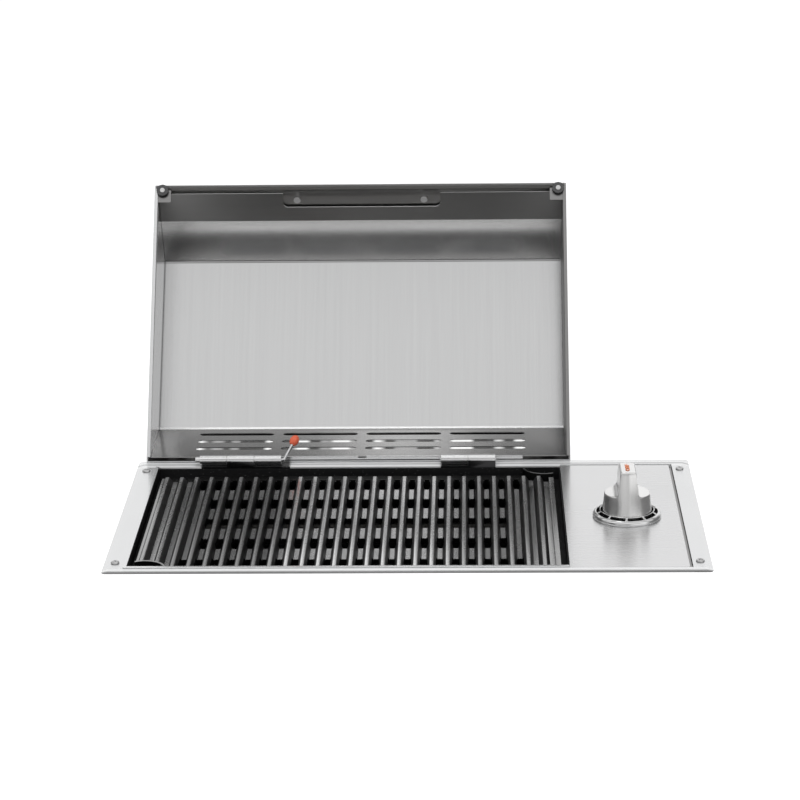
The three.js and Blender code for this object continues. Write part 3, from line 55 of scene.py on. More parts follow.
FLAT = math.radians(0.8)  # faces of the CAD mesh that meet under this angle are joined
UP = Vector((0.0, 0.0, 1.0))
BLACK = (0.0, 0.0, 0.0)
WHITE = (1.0, 1.0, 1.0)
SIDES = ("left", "right")

Colour = tuple[float, float, float]
Point = tuple[float, float, float]
Pair = tuple[float, float]
Outline = tuple[Pair, ...]
Socket = bpy.types.NodeSocket
BMesh = bmesh.types.BMesh


class Body(Enum):
    """Moving bodies of the grill."""

    BASE = "base"
    LID = "lid"
    PIN = "release_pin"
    KNOB = "knob"
    PLATE = "grill_plate"


class Grain(Enum):
    """Direction in which a sheet was brushed, as the stretch of its pattern on X, Y and Z."""

    ALONG_X = (0.01, 1.0, 1.0)
    ACROSS_X = (1.0, 0.01, 0.01)
    ALONG_Y = (1.0, 0.01, 1.0)
    UPRIGHT = (1.0, 1.0, 0.01)
    ROUND_Z = (0.01, 0.01, 1.0)


class Slot(Enum):
    """The record's material slots."""

    STEEL = "steel"
    DULL_STEEL = "dull_steel"
    CHROME = "chrome"
    LINER = "liner"
    COATED_CAST = "coated_cast"
    ENAMEL = "enamel"
    ELEMENT_SHEATH = "element_sheath"
    CERAMIC = "ceramic"
    BRASS = "brass"
    RUBBER = "rubber"
    RED_PLASTIC = "red_plastic"
    ORANGE_PAINT = "orange_paint"
    BLACK_PLASTIC = "black_plastic"
    WIRE_COVER = "wire_cover"


class NodeSheet:
    """Adds nodes to a tree and links them."""

    def __init__(self, tree: bpy.types.NodeTree) -> None:
        """Keeps the tree of a material, a world or a group."""
        self.tree = tree

    @classmethod
    def blank(cls, owner: bpy.types.ID) -> "NodeSheet":
        """Sheet on the emptied tree of a material or a world.

        Args:
            owner: the material or the world.

        Returns:
            The sheet.
        """
        owner.use_nodes = True
        owner.node_tree.nodes.clear()
        return cls(owner.node_tree)

    def put(self, target: Socket, value: object) -> None:
        """Feeds an input.

        Args:
            target: the input.
            value: output to link, or a colour or number to write.
        """
        if isinstance(value, Socket):
            self.tree.links.new(value, target)
        elif target.type == "RGBA":
            target.default_value = (*value, 1.0)
        else:
            target.default_value = value

    def add(self, kind: str, **settings: object) -> bpy.types.Node:
        """Adds one node.

        Args:
            kind: name of the node type without the word ShaderNode.
            **settings: attributes of the node, and what its inputs get under their names.

        Returns:
            The new node.
        """
        node = self.tree.nodes.new(kind if kind.startswith("NodeGroup") else f"ShaderNode{kind}")
        for name, value in settings.items():
            if hasattr(node, name):
                setattr(node, name, value)
            else:
                self.put(node.inputs[name.replace("_", " ")], value)
        return node

    def maths(self, operation: str, a: object, b: object) -> Socket:
        """Result of a Math node.

        Args:
            operation: Blender's name of the operation.
            a: socket or number for the first input.
            b: socket or number for the second input.

        Returns:
            The result.
        """
        node = self.add("Math", operation=operation)
        self.put(node.inputs[0], a)
        self.put(node.inputs[1], b)
        return node.outputs[0]

    def moved(self, value: object, scale: object, shift: object) -> Socket:
        """A value times a scale, plus a shift."""
        return self.maths("ADD", self.maths("MULTIPLY", value, scale), shift)

    def blended(self, a: Socket, b: Socket, share: float) -> Socket:
        """A share of one value, and the rest of another."""
        return self.maths("ADD", self.maths("MULTIPLY", a, share),
                          self.maths("MULTIPLY", b, 1 - share))

    def spread(self, value: Socket, low: float, high: float) -> Socket:
        """Value from 0 to 1 mapped onto a range."""
        return self.add("MapRange", To_Min=low, To_Max=high, Value=value).outputs[0]

    def ramp(self, value: Socket, stops: Sequence[Pair]) -> Socket:
        """Grey from a ramp.

        Args:
            value: place on the ramp.
            stops: place and grey of each stop.

        Returns:
            The grey.
        """
        node = self.add("ValToRGB", Fac=value)
        marks = node.color_ramp.elements
        while len(marks) < len(stops):
            marks.new(0.5)
        for mark, (place, grey) in zip(marks, stops):
            mark.position = place
            mark.color = (grey, grey, grey, 1.0)
        return node.outputs["Color"]

    def tint(self, factor: Socket, low: object, high: object) -> Socket:
        """Mixes two colours.

        Args:
            factor: the mix factor.
            low: colour or socket at 0.
            high: colour or socket at 1.

        Returns:
            The mixed colour.
        """
        node = self.add("Mix", data_type="RGBA", Factor=factor)
        for value, name in ((low, "A"), (high, "B")):
            self.put(next(s for s in node.inputs if s.name == name and s.type == "RGBA"), value)
        return next(s for s in node.outputs if s.type == "RGBA")

    def place(self) -> Socket:
        """Place on the piece in metres."""
        return self.add("TexCoord").outputs["Object"]

    def along(self, axis: str) -> Socket:
        """Place on the piece along X, Y or Z, in metres."""
        return self.add("SeparateXYZ", Vector=self.place()).outputs[axis]

    def band(self, axis: str, stops: Outline, run: Pair) -> Socket:
        """Grey that changes along an axis of the piece.

        Args:
            axis: X, Y or Z.
            stops: place in metres and grey of each stop.
            run: what a metre takes up on the ramp, and where the axis's zero lies on it.

        Returns:
            The grey.
        """
        scale, shift = run
        return self.ramp(self.moved(self.along(axis), scale, shift),
                         [(scale * at + shift, grey) for at, grey in stops])


class EffectGroups:
    """Node groups that several finishes share, each built once."""

    @staticmethod
    def _start(name: str, **numbers: float) -> tuple[NodeSheet, Sequence[Socket]]:
        """Makes a group that takes a Vector and some numbers.

        Args:
            name: name of the group.
            **numbers: its number inputs and their defaults.

        Returns:
            The group's sheet, and what the group is given.
        """
        tree = bpy.data.node_groups.new(name, "ShaderNodeTree")
        tree.interface.new_socket("Vector", in_out="INPUT", socket_type="NodeSocketVector")
        for label, default in numbers.items():
            socket = tree.interface.new_socket(label, in_out="INPUT", socket_type="NodeSocketFloat")
            socket.default_value = default
        sheet = NodeSheet(tree)
        return sheet, sheet.add("NodeGroupInput").outputs

    @staticmethod
    def _end(sheet: NodeSheet, **results: Socket) -> bpy.types.NodeTree:
        """Gives a group its outputs.

        Args:
            sheet: the group's sheet.
            **results: what each output gives.

        Returns:
            The group.
        """
        for label in results:
            sheet.tree.interface.new_socket(label, in_out="OUTPUT", socket_type="NodeSocketFloat")
        sheet.add("NodeGroupOutput", **results)
        return sheet.tree

    @classmethod
    @cache
    def brushed(cls) -> bpy.types.NodeTree:
        """Brush lines of sheet metal.

        Returns:
            Group with the outputs Shade, Rough and Height.
        """
        sheet, given = cls._start("Brushed grain", Fine=1500.0, Coarse=260.0, Depth=0.5)
        fine = sheet.add("TexNoise", Detail=2.0, Roughness=0.6, Vector=given["Vector"],
                         Scale=given["Fine"])
        coarse = sheet.add("TexNoise", Detail=3.0, Roughness=0.7, Vector=given["Vector"],
                           Scale=given["Coarse"])
        cloud = sheet.add("TexNoise", Scale=9.0, Detail=2.0, Vector=sheet.place())
        lines = sheet.blended(fine.outputs[0], coarse.outputs[0], 0.5)
        shade = sheet.moved(sheet.maths("SUBTRACT", lines, 0.5), given["Depth"], 0.5)
        smear = sheet.maths("MULTIPLY", sheet.maths("SUBTRACT", cloud.outputs[0], 0.5), 0.6)
        return cls._end(sheet, Shade=shade, Rough=sheet.maths("ADD", shade, smear), Height=lines)

    @classmethod
    @cache
    def cast(cls) -> bpy.types.NodeTree:
        """Skin of a sand-cast, coated surface.

        Returns:
            Group with the outputs Shade, Rough and Height.
        """
        sheet, given = cls._start("Cast grain", Fine=1400.0, Coarse=320.0)
        fine = sheet.add("TexNoise", Detail=3.0, Roughness=0.65, Vector=given["Vector"],
                         Scale=given["Fine"])
        pits = sheet.add("TexVoronoi", Vector=given["Vector"], Scale=given["Coarse"])
        cloud = sheet.add("TexNoise", Scale=22.0, Detail=3.0, Vector=given["Vector"]).outputs[0]
        bumps = sheet.blended(fine.outputs[0], pits.outputs["Distance"], 0.7)
        return cls._end(sheet, Shade=sheet.blended(bumps, cloud, 0.5), Rough=cloud, Height=bumps)

    @classmethod
    @cache
    def wear(cls) -> bpy.types.NodeTree:
        """Rubbed edges, broken up by noise.

        Returns:
            Group with the output Mask.
        """
        sheet, given = cls._start("Edge wear", Reach=0.08, Break=300.0)
        noise = sheet.add("TexNoise", Detail=3.0, Vector=given["Vector"], Scale=given["Break"])
        edge = sheet.add("MapRange", Value=sheet.add("NewGeometry").outputs["Pointiness"],
                         From_Min=0.5, From_Max=sheet.maths("ADD", given["Reach"], 0.5))
        return cls._end(sheet, Mask=sheet.maths("MULTIPLY", edge.outputs[0], noise.outputs[0]))


@dataclass(frozen=True)
class Finish:
    """A finish of the grill.

    Attributes:
        name: name of the material.
        colour: base colour, linear.
        roughness: middle of the roughness range.
        metallic: 1 for bare metal.
        swing: share by which the colour varies.
        spread: distance by which the roughness varies.
        relief: height of the bump in metres.
        sheen: specular level.
    """

    name: str
    colour: Colour
    roughness: float
    metallic: float = 0.0
    swing: float = 0.1
    spread: float = 0.06
    relief: float = 0.00002
    sheen: float = 0.5

    def _shade(self, share: float) -> Colour:
        """Base colour times a share."""
        return tuple(min(1.0, part * share) for part in self.colour)

    def _pattern(self, sheet: NodeSheet) -> Sequence[Socket]:
        """Shade, roughness factor and height, each from 0 to 1."""
        raise NotImplementedError

    def _colour(self, sheet: NodeSheet, shade: Socket) -> Socket:
        """Colour that belongs to a shade."""
        return sheet.tint(shade, self._shade(1 - self.swing), self._shade(1 + self.swing))

    def _painted_shading(self, sheet: NodeSheet) -> Socket | None:
        """Share of the colour that painted shade leaves, where there is any."""
        return None

    def _last(self, sheet: NodeSheet, shader: bpy.types.Node) -> None:
        """Feeds what only some finishes need."""

    def material(self) -> bpy.types.Material:
        """The material, built the first time that it is asked for.

        Returns:
            The material.
        """
        if self.name in bpy.data.materials:
            return bpy.data.materials[self.name]
        made = bpy.data.materials.new(self.name)
        sheet = NodeSheet.blank(made)
        shade, rough, height = self._pattern(sheet)
        colour = self._colour(sheet, shade)
        # Painted shade: the colour is mixed towards black where the mask says.
        unshaded = self._painted_shading(sheet)
        if unshaded is not None:
            colour = sheet.tint(unshaded, BLACK, colour)
        least, most = max(0.02, self.roughness - self.spread), self.roughness + self.spread
        bump = sheet.add("Bump", Strength=1.0, Distance=self.relief, Height=height)
        shader = sheet.add("BsdfPrincipled", Base_Color=colour, Metallic=self.metallic,
                           Roughness=sheet.spread(rough, least, min(1.0, most)),
                           Specular_IOR_Level=self.sheen, Normal=bump.outputs[0])
        sheet.add("OutputMaterial", Surface=shader.outputs[0])
        self._last(sheet, shader)
        return made


@dataclass(frozen=True)
class BrushedMetal(Finish):
    """Sheet or bar metal with brush lines.

    Attributes:
        metallic: 1 for bare metal.
        grain: direction of the lines.
        fine: lines per metre.
        coarse: broader streaks per metre.
        depth: contrast of the lines.
        smear: share by which mirror images spread across the lines.
    """

    metallic: float = 1.0
    grain: Grain = Grain.ALONG_X
    fine: float = 1500.0
    coarse: float = 260.0
    depth: float = 0.8
    smear: float = 0.0

    def _across(self, sheet: NodeSheet) -> Socket:
        """Direction across the brush lines.

        Args:
            sheet: sheet of the material.

        Returns:
            The direction.
        """
        along = "X" if self.grain in (Grain.ACROSS_X, Grain.ALONG_X) else "Z"
        fixed = sheet.add("CombineXYZ", **{along: 1.0}).outputs[0]
        if self.grain in (Grain.ACROSS_X, Grain.ROUND_Z):
            return fixed
        cross = sheet.add("VectorMath", operation="CROSS_PRODUCT")
        sheet.put(cross.inputs[0], sheet.add("NewGeometry").outputs["Normal"])
        sheet.put(cross.inputs[1], fixed)
        return cross.outputs[0]

    def _pattern(self, sheet: NodeSheet) -> Sequence[Socket]:
        """Brushed grain, stretched along its direction.

        Args:
            sheet: sheet of the material.

        Returns:
            Shade, roughness factor and height.
        """
        mapping = sheet.add("Mapping", Scale=self.grain.value, Vector=sheet.place())
        group = sheet.add("Group", node_tree=EffectGroups.brushed(), Fine=self.fine,
                          Coarse=self.coarse, Depth=self.depth, Vector=mapping.outputs[0])
        return group.outputs[:]

    def _last(self, sheet: NodeSheet, shader: bpy.types.Node) -> None:
        """Spreads mirror images across the lines.

        Args:
            sheet: sheet of the material.
            shader: the material's shader.
        """
        if self.smear:
            sheet.put(shader.inputs["Anisotropic"], self.smear)
            sheet.put(shader.inputs["Tangent"], self._across(sheet))


@dataclass(frozen=True)
class CheekSteel(BrushedMetal):
    """Steel of the liner's cheeks, with painted shade along the fold at the liner.

    Attributes:
        fold: normal of the liner's plane.
        offset: distance of that plane from the origin in metres.
        width: width of the band of painted shade in metres.
        fade: place across the band and share of the colour.
    """

    fold: Point = (0.0, -0.804, 0.595)
    offset: float = -0.1267
    width: float = 0.012
    fade: Outline = ((0.5, 0.05), (0.95, 1.0))

    def _painted_shading(self, sheet: NodeSheet) -> Socket:
        """Share of the colour that the painted shade beside the fold leaves.

        Args:
            sheet: sheet of the material.

        Returns:
            The share.
        """
        reach = sheet.add("VectorMath", operation="DOT_PRODUCT")
        sheet.put(reach.inputs[0], sheet.place())
        sheet.put(reach.inputs[1], self.fold)
        away = sheet.maths("SUBTRACT", reach.outputs["Value"], self.offset)
        return sheet.ramp(sheet.maths("DIVIDE", away, self.width), self.fade)


@dataclass(frozen=True)
class PaintedGlintSteel(BrushedMetal):
    """Inner side of the sheet behind the vents, with painted glints that glow as emission.

    Attributes:
        glints: painted glints per metre.
        level: strength of the painted glints, which glow as emission.
        rows: Y in metres and share of the glints at the rows of vents.
        blobs: noise and strength of the glints.
        run: what a metre takes up on the rows' ramp, and where zero lies on it.
    """

    glints: float = 34.0
    level: float = 0.9
    rows: Outline = ((0.176, 0.0), (0.177, 1.0), (0.2095, 1.0), (0.2105, 0.0))
    blobs: Outline = ((0.47, 0.02), (0.56, 1.0))
    run: Pair = (2.0, 0.0)

    def _last(self, sheet: NodeSheet, shader: bpy.types.Node) -> None:
        """Adds the painted glints as emission.

        Args:
            sheet: sheet of the material.
            shader: the material's shader.
        """
        across = sheet.add("CombineXYZ", X=sheet.along("X"))
        dots = sheet.add("TexNoise", Scale=self.glints, Detail=1.0, Vector=across.outputs[0])
        shine = sheet.maths("MULTIPLY", sheet.ramp(dots.outputs[0], self.blobs),
                            sheet.band("Y", self.rows, self.run))
        sheet.put(shader.inputs["Emission Color"], sheet.maths("MULTIPLY", shine, self.level))
        sheet.put(shader.inputs["Emission Strength"], 1.0)


@dataclass(frozen=True)
class FrameSteel(BrushedMetal):
    """Steel of the trim frame, duller on the strips at its front and back edges, with painted
    shade.

    Attributes:
        steps: Y in metres and share of dull steel at the steps from front to back.
        tones: Y in metres and share of the colour at the painted shade lines, from front to back.
        hinges: X in metres and share of the colour in the painted shadow behind the hinge leaves.
        rear: Y in metres behind which the hinges' painted shadow darkens the steel.
        dulled: what the dull steel keeps of the metal's shine.
        tone_run: what a metre takes up on the ramps of tones and hinges, and where zero lies.
        step_run: the same for the ramp of the steps.
    """

    steps: Outline = ((-0.1498, 0.0), (-0.1494, 1.0), (-0.1455, 1.0), (-0.145, 0.0),
                      (0.129, 0.0), (0.1296, 1.0))
    tones: Outline = ((-0.15, 0.42), (-0.1496, 1.0), (0.1355, 1.0), (0.1362, 0.45),
                      (0.1385, 0.45), (0.1392, 1.0))
    hinges: Outline = ((-0.2042, 1.0), (-0.2038, 0.05), (-0.1188, 0.05), (-0.1184, 1.0),
                       (0.0273, 1.0), (0.0277, 0.05), (0.0798, 0.05), (0.0802, 1.0))
    rear: float = 0.131
    dulled: float = 0.3
    tone_run: Pair = (1.5, 0.5)
    step_run: Pair = (2.0, 0.5)

    def _painted_shading(self, sheet: NodeSheet) -> Socket:
        """Share of the colour under painted shade on the bevel and painted shadow behind the
        leaves.

        Args:
            sheet: sheet of the material.

        Returns:
            The share.
        """
        tones = sheet.band("Y", self.tones, self.tone_run)
        hinges = sheet.band("X", self.hinges, self.tone_run)
        front = sheet.maths("LESS_THAN", sheet.along("Y"), self.rear)
        return sheet.maths("MULTIPLY", tones, sheet.maths("MAXIMUM", hinges, front))

    def _last(self, sheet: NodeSheet, shader: bpy.types.Node) -> None:
        """Makes the strips duller.

        Args:
            sheet: sheet of the material.
            shader: the material's shader.
        """
        super()._last(sheet, shader)
        dull = sheet.band("Y", self.steps, self.step_run)
        sheet.put(shader.inputs["Metallic"], sheet.spread(dull, 1.0, self.dulled))


@dataclass(frozen=True)
class CastMetal(Finish):
    """Cast and coated metal, rubbed bright along its edges.

    Attributes:
        worn: colour of the rubbed edges.
        fine: grains per metre.
        coarse: pits per metre.
    """

    worn: Colour = (0.4, 0.4, 0.4)
    fine: float = 1400.0
    coarse: float = 320.0

    def _pattern(self, sheet: NodeSheet) -> Sequence[Socket]:
        """Cast grain.

        Args:
            sheet: sheet of the material.

        Returns:
            Shade, roughness factor and height.
        """
        group = sheet.add("Group", node_tree=EffectGroups.cast(), Fine=self.fine,
                          Coarse=self.coarse, Vector=sheet.place())
        return group.outputs[:]

    def _colour(self, sheet: NodeSheet, shade: Socket) -> Socket:
        """Coating colour with worn edges."""
        wear = sheet.add("Group", node_tree=EffectGroups.wear(), Vector=sheet.place())
        return sheet.tint(wear.outputs["Mask"], super()._colour(sheet, shade), self.worn)


@dataclass(frozen=True)
class PaintedLightPlate(CastMetal):
    """Grill plate coating: a painted reflection in the middle, painted shade at the back and sides.

    Attributes:
        sheen: specular level, kept low.
        across: left end of the plate and its width in metres.
        along: front end of the plate and its depth in metres.
        sides: share of the width, from the left, and share of the colour there.
        back: share of the depth, from the front, and share of the colour there.
        bare: share of the depth and share of bare metal there.
    """

    sheen: float = 0.05
    across: Pair = (-0.24, 0.375)
    along: Pair = (-0.1417, 0.27)
    sides: Outline = ((0.0, 0.4), (0.3, 0.34), (0.36, 1.0), (0.72, 1.0), (0.76, 0.6), (1.0, 0.45))
    back: Outline = ((0.0, 1.0), (0.86, 0.9), (0.92, 0.4), (0.96, 0.02))
    bare: Outline = ((0.0, 1.0), (0.86, 1.0), (0.94, 0.0))

    @staticmethod
    def _share(sheet: NodeSheet, axis: str, run: Pair) -> Socket:
        """Place along an axis as a share of a run with a start and a length."""
        return sheet.maths("DIVIDE", sheet.maths("SUBTRACT", sheet.along(axis), run[0]), run[1])

    def _painted_shading(self, sheet: NodeSheet) -> Socket:
        """Share of the colour that the painted shade leaves.

        Args:
            sheet: sheet of the material.

        Returns:
            The share.
        """
        sides = sheet.ramp(self._share(sheet, "X", self.across), self.sides)
        back = sheet.ramp(self._share(sheet, "Y", self.along), self.back)
        return sheet.maths("MULTIPLY", sides, back)

    def _last(self, sheet: NodeSheet, shader: bpy.types.Node) -> None:
        """Turns the metal matt at the back, under the painted shade there."""
        bare = sheet.ramp(self._share(sheet, "Y", self.along), self.bare)
        sheet.put(shader.inputs["Metallic"], bare)


@dataclass(frozen=True)
class Speckled(CastMetal):
    """Burnt-in enamel with fine bright specks.

    Attributes:
        sheen: specular level.
        speck: colour of the specks.
        share: share of the surface that they cover, as a cut-off from 0 to 1.
        soft: width of the specks' edge.
        specks: specks per metre.
    """

    sheen: float = 0.12
    speck: Colour = (0.25, 0.25, 0.25)
    share: float = 0.2
    soft: float = 0.05
    specks: float = 420.0

    def _colour(self, sheet: NodeSheet, shade: Socket) -> Socket:
        """Enamel colour with specks on it.

        Args:
            sheet: sheet of the material.
            shade: shade from 0 to 1.

        Returns:
            The colour.
        """
        dots = sheet.add("TexVoronoi", Scale=self.specks, Vector=sheet.place())
        mask = sheet.ramp(dots.outputs["Distance"],
                          ((self.share, 1.0), (self.share + self.soft, 0.0)))
        return sheet.tint(mask, super()._colour(sheet, shade), self.speck)


@dataclass(frozen=True)
class Moulded(CastMetal):
    """Moulded plastic, rubber or fired clay, with a fine matt skin.

    Attributes:
        worn: colour of the rubbed edges.
        sheen: specular level.
    """

    worn: Colour = (0.3, 0.3, 0.3)
    sheen: float = 0.4


class Finishes:
    """All finishes of the grill."""

    # Painted shade: thin dark lines at the front edge and rear strip, painted shadow behind the
    # hinges.
    frame_steel = FrameSteel("frame_steel", (0.83, 0.835, 0.84), 0.25, swing=0.05, spread=0.04,
                             smear=0.7)
    panel_steel = BrushedMetal("panel_steel", (0.82, 0.82, 0.825), 0.27, swing=0.04,
                               spread=0.04, relief=0.00001, smear=0.8)
    shell_steel = BrushedMetal("shell_steel", (0.74, 0.745, 0.75), 0.26, swing=0.06, spread=0.05)
    # Painted glints: emission on the inner side of the sheet behind the vents.
    painted_glints = PaintedGlintSteel("painted_glint_sheet", (0.6, 0.6, 0.6), 0.3, spread=0.05)
    # A dark copy of the shell's steel: painted shade on the shell's inner side at the front.
    painted_shade_inner = BrushedMetal("shell_inside_painted_shade", (0.3, 0.295, 0.29), 0.34, swing=0.12)
    liner_steel = BrushedMetal("liner_steel", (0.57, 0.571, 0.573), 0.14, spread=0.03,
                               grain=Grain.ACROSS_X, smear=0.8)
    cheek_steel = CheekSteel("liner_side_steel", (0.62, 0.62, 0.62), 0.2, spread=0.04,
                             grain=Grain.ALONG_Y)
    shaded_steel = BrushedMetal("shaded_side_steel", (0.12, 0.12, 0.12), 0.45, spread=0.04,
                                metallic=0.5, grain=Grain.ALONG_Y)
    hinge_steel = BrushedMetal("hinge_steel", (0.88, 0.88, 0.885), 0.26, swing=0.08, spread=0.05)
    # Near black steel: painted shade on the frame's hinge leaves outside their knuckles.
    leaf_painted_shade = BrushedMetal("painted_shade_on_leaves", (0.06, 0.06, 0.062), 0.25, swing=0.15)
    galvanised = BrushedMetal("galvanised_sheet", (0.42, 0.43, 0.44), 0.42, swing=0.14,
                              spread=0.1, grain=Grain.UPRIGHT)
    bright_wire = BrushedMetal("bright_wire", (0.7, 0.7, 0.71), 0.14, swing=0.06, spread=0.04)
    screw_steel = BrushedMetal("screw_steel", (0.6, 0.6, 0.6), 0.3, metallic=0.8)
    knob_satin = BrushedMetal("knob_satin", (0.84, 0.835, 0.83), 0.2, swing=0.05, spread=0.03,
                              grain=Grain.ROUND_Z, relief=0.000004, smear=0.85)
    bezel_chrome = BrushedMetal("bezel_chrome", (0.74, 0.74, 0.74), 0.11, swing=0.04,
                                spread=0.03)
    # Near white: a painted highlight on the liner's cut edges and its bend.
    painted_highlight_edge = BrushedMetal("painted_highlight_edge", (0.95, 0.95, 0.95), 0.3, metallic=0.1, swing=0.05,
                            spread=0.05)
    # Dark copy of the steel: painted shade on lip, right cheek, corner tabs and groove floor.
    painted_shade_steel = BrushedMetal("painted_shade_steel", (0.3, 0.297, 0.295), 0.3, swing=0.08, spread=0.05)
    # Dark copy of the liner's steel: painted shade on the liner's slotted wall.
    painted_shade_wall = BrushedMetal("painted_shade_wall", (0.36, 0.357, 0.354), 0.14, swing=0.12, spread=0.04)
    # Bright copy of the liner's steel: painted light on the liner's slope.
    painted_light_slope = BrushedMetal("painted_light_slope", (0.97, 0.97, 0.97), 0.12, swing=0.08, spread=0.03,
                               grain=Grain.ACROSS_X, relief=0.00001, smear=0.8)
    # Bright base colour: painted reflection on the plate; its sides and back get painted shade.
    cast_plate = PaintedLightPlate("cast_coating", (0.95, 0.95, 0.95), 0.27, metallic=1.0,
                               swing=0.15, spread=0.05, relief=0.00001, worn=(0.97, 0.97, 0.97))
    # A dark copy of the plate's coating: painted shade on the ribs' flanks.
    flank_painted_shade = PaintedLightPlate("painted_shade_flank_cast", (0.17, 0.17, 0.172), 0.4, metallic=1.0, swing=0.2,
                              spread=0.05, relief=0.00001, worn=(0.2, 0.2, 0.2))
    enamel = Speckled("pan_enamel", (0.006, 0.006, 0.0065), 0.6, swing=0.3, spread=0.1,
                      worn=(0.012, 0.012, 0.012), speck=(0.2, 0.2, 0.2), share=0.07)
    # Near black: painted shade in the plate's slots and undersides and on the ring behind the
    # bezel's slots.
    painted_shadow_black = Moulded("painted_shadow_black", (0.003, 0.003, 0.003), 0.9, swing=0.2, spread=0.05,
                        worn=(0.004, 0.004, 0.004), sheen=0.05)
    rubber = Moulded("bumper_rubber", (0.05, 0.05, 0.052), 0.7, swing=0.15, spread=0.08,
                     relief=0.00005, worn=(0.12, 0.12, 0.12))
    foam = Moulded("gasket_foam", (0.09, 0.09, 0.092), 0.85, swing=0.2, relief=0.0001,
                   worn=(0.15, 0.15, 0.15))
    red_cap = Moulded("cap_plastic", (0.62, 0.07, 0.02), 0.42, swing=0.08,
                      worn=(0.75, 0.2, 0.12))
    orange_paint = Moulded("letter_paint", (0.75, 0.17, 0.035), 0.5, swing=0.06,
                           worn=(0.8, 0.3, 0.15))
    element = CastMetal("element_sheath", (0.06, 0.057, 0.055), 0.5, metallic=0.9, swing=0.3,
                        spread=0.1, worn=(0.2, 0.18, 0.16))
    ceramic = Moulded("terminal_ceramic", (0.78, 0.75, 0.67), 0.55, swing=0.07, spread=0.08,
                      worn=(0.85, 0.83, 0.78))
    black_plastic = Moulded("black_plastic", (0.012, 0.012, 0.014), 0.5, swing=0.2,
                            spread=0.08, worn=(0.05, 0.05, 0.05))
    brass = BrushedMetal("nut_brass", (0.48, 0.32, 0.1), 0.3, swing=0.12, spread=0.07,
                         grain=Grain.UPRIGHT)
    wire_cover = Moulded("wire_cover", (0.26, 0.03, 0.02), 0.5, spread=0.08,
                         worn=(0.35, 0.08, 0.06))


def linked(name: str, data: bpy.types.ID) -> bpy.types.Object:
    """Puts a mesh, curve, lens or light into the scene.

    Args:
        name: name of the object.
        data: what it shows.

    Returns:
        The object.
    """
    made = bpy.data.objects.new(name, data)
    bpy.context.scene.collection.objects.link(made)
    return made


class Piece:
    """Turns finished meshes into pieces that ride on a body."""

    @staticmethod
    def of(name: str, shape: BMesh, body: Body, finish: Finish, slot: Slot,
           stands_for: Sequence[str] = (), smooth: float = 35.0) -> bpy.types.Object:
        """Makes a piece from a bmesh.

        Args:
            name: name of the piece.
            shape: the bmesh, freed here.
            body: body that it rides on.
            finish: its finish.
            slot: the record's material slot; not used.
            stands_for: CAD nodes that it replaces.
            smooth: angle in degrees up to which edges look smooth.

        Returns:
            The piece.
        """
        mesh = bpy.data.meshes.new(name)
        shape.to_mesh(mesh)
        shape.free()
        mesh.materials.clear()
        mesh.materials.append(finish.material())
        mesh.shade_smooth()
        mesh.set_sharp_from_angle(angle=math.radians(smooth))
        made = linked(name, mesh)
        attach(made, body.value)
        if stands_for:
            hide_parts(*stands_for)
        LOG.info("%s: %d faces, on %s", name, len(mesh.polygons), body.value)
        return made

    @staticmethod
    def modified(made: bpy.types.Object, name: str, kind: str, **settings: object) -> None:
        """Gives a piece a modifier.

        Args:
            made: the piece.
            name: name of the modifier.
            kind: Blender's name of its type.
            **settings: the modifier's attributes.
        """
        added = made.modifiers.new(name, kind)
        for label, value in settings.items():
            setattr(added, label, value)

    @staticmethod
    def merged(node: str) -> BMesh:
        """Mesh of a CAD node with its corners merged and its flats joined.

        Args:
            node: name of the CAD node.

        Returns:
            The bmesh.
        """
        shape = bmesh.new()
        shape.from_mesh(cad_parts[node].data)
        bmesh.ops.remove_doubles(shape, verts=shape.verts[:], dist=MERGE)
        bmesh.ops.dissolve_limit(shape, angle_limit=FLAT, use_dissolve_boundaries=False,
                                 verts=shape.verts[:], edges=shape.edges[:], delimit=set())
        return shape

    @classmethod
    def whole(cls, name: str, node: str, body: Body, finish: Finish, slot: Slot,
              smooth: float) -> bpy.types.Object:
        """Piece with a CAD node's own shape, which stands for the node."""
        return cls.of(name, cls.merged(node), body, finish, slot, (node,), smooth)

    @classmethod
    def eased(cls, name: str, node: str, body: Body, finish: Finish, slot: Slot,
              edge: float = 0.25, over: float = 30.0, smooth: float = 35.0) -> bpy.types.Object:
        """Piece with a CAD node's shape and eased edges, which stands for the node.

        Args:
            name: name of the piece.
            node: the CAD node.
            body: body that it rides on.
            finish: its finish.
            slot: the record's material slot.
            edge: width of the eased edge in millimetres.
            over: angle in degrees above which an edge is eased.
            smooth: angle in degrees up to which edges look smooth.

        Returns:
            The piece.
        """
        made = cls.whole(name, node, body, finish, slot, smooth)
        cls.modified(made, "Eased edges", "BEVEL", width=edge * MM, segments=2,
                     limit_method="ANGLE", angle_limit=math.radians(over),
                     use_clamp_overlap=True, harden_normals=True)
        return made

    @classmethod
    def rounded(cls, made: bpy.types.Object, x: float, width: float) -> None:
        """Rounds a piece's upper edges that run from front to back at a place.

        Args:
            made: the piece.
            x: X of the edges in metres.
            width: width of the rounding in millimetres.
        """
        mesh = made.data
        weights = mesh.attributes.new("bevel_weight_edge", "FLOAT", "EDGE")
        top = max(corner.co.z for corner in mesh.vertices)
        near = 0.2 * MM
        for edge in mesh.edges:
            ends = [mesh.vertices[index].co for index in edge.vertices]
            if all(abs(end.x - x) < near and abs(end.z - top) < near for end in ends):
                weights.data[edge.index].value = 1.0
        cls.modified(made, "Rolled edge", "BEVEL", width=width * MM, segments=3,
                     limit_method="WEIGHT")
        made.modifiers.move(len(made.modifiers) - 1, 0)

    @staticmethod
    def shades(made: bpy.types.Object, finishes: Sequence[Finish],
               choose: Callable[[bpy.types.MeshPolygon], int]) -> None:
        """Gives some faces of a piece another finish.

        Args:
            made: the piece.
            finishes: its further finishes, numbered from 1.
            choose: function from a face to the number of its finish, 0 for the first one.
        """
        for finish in finishes:
            made.data.materials.append(finish.material())
        for face in made.data.polygons:
            face.material_index = choose(face)


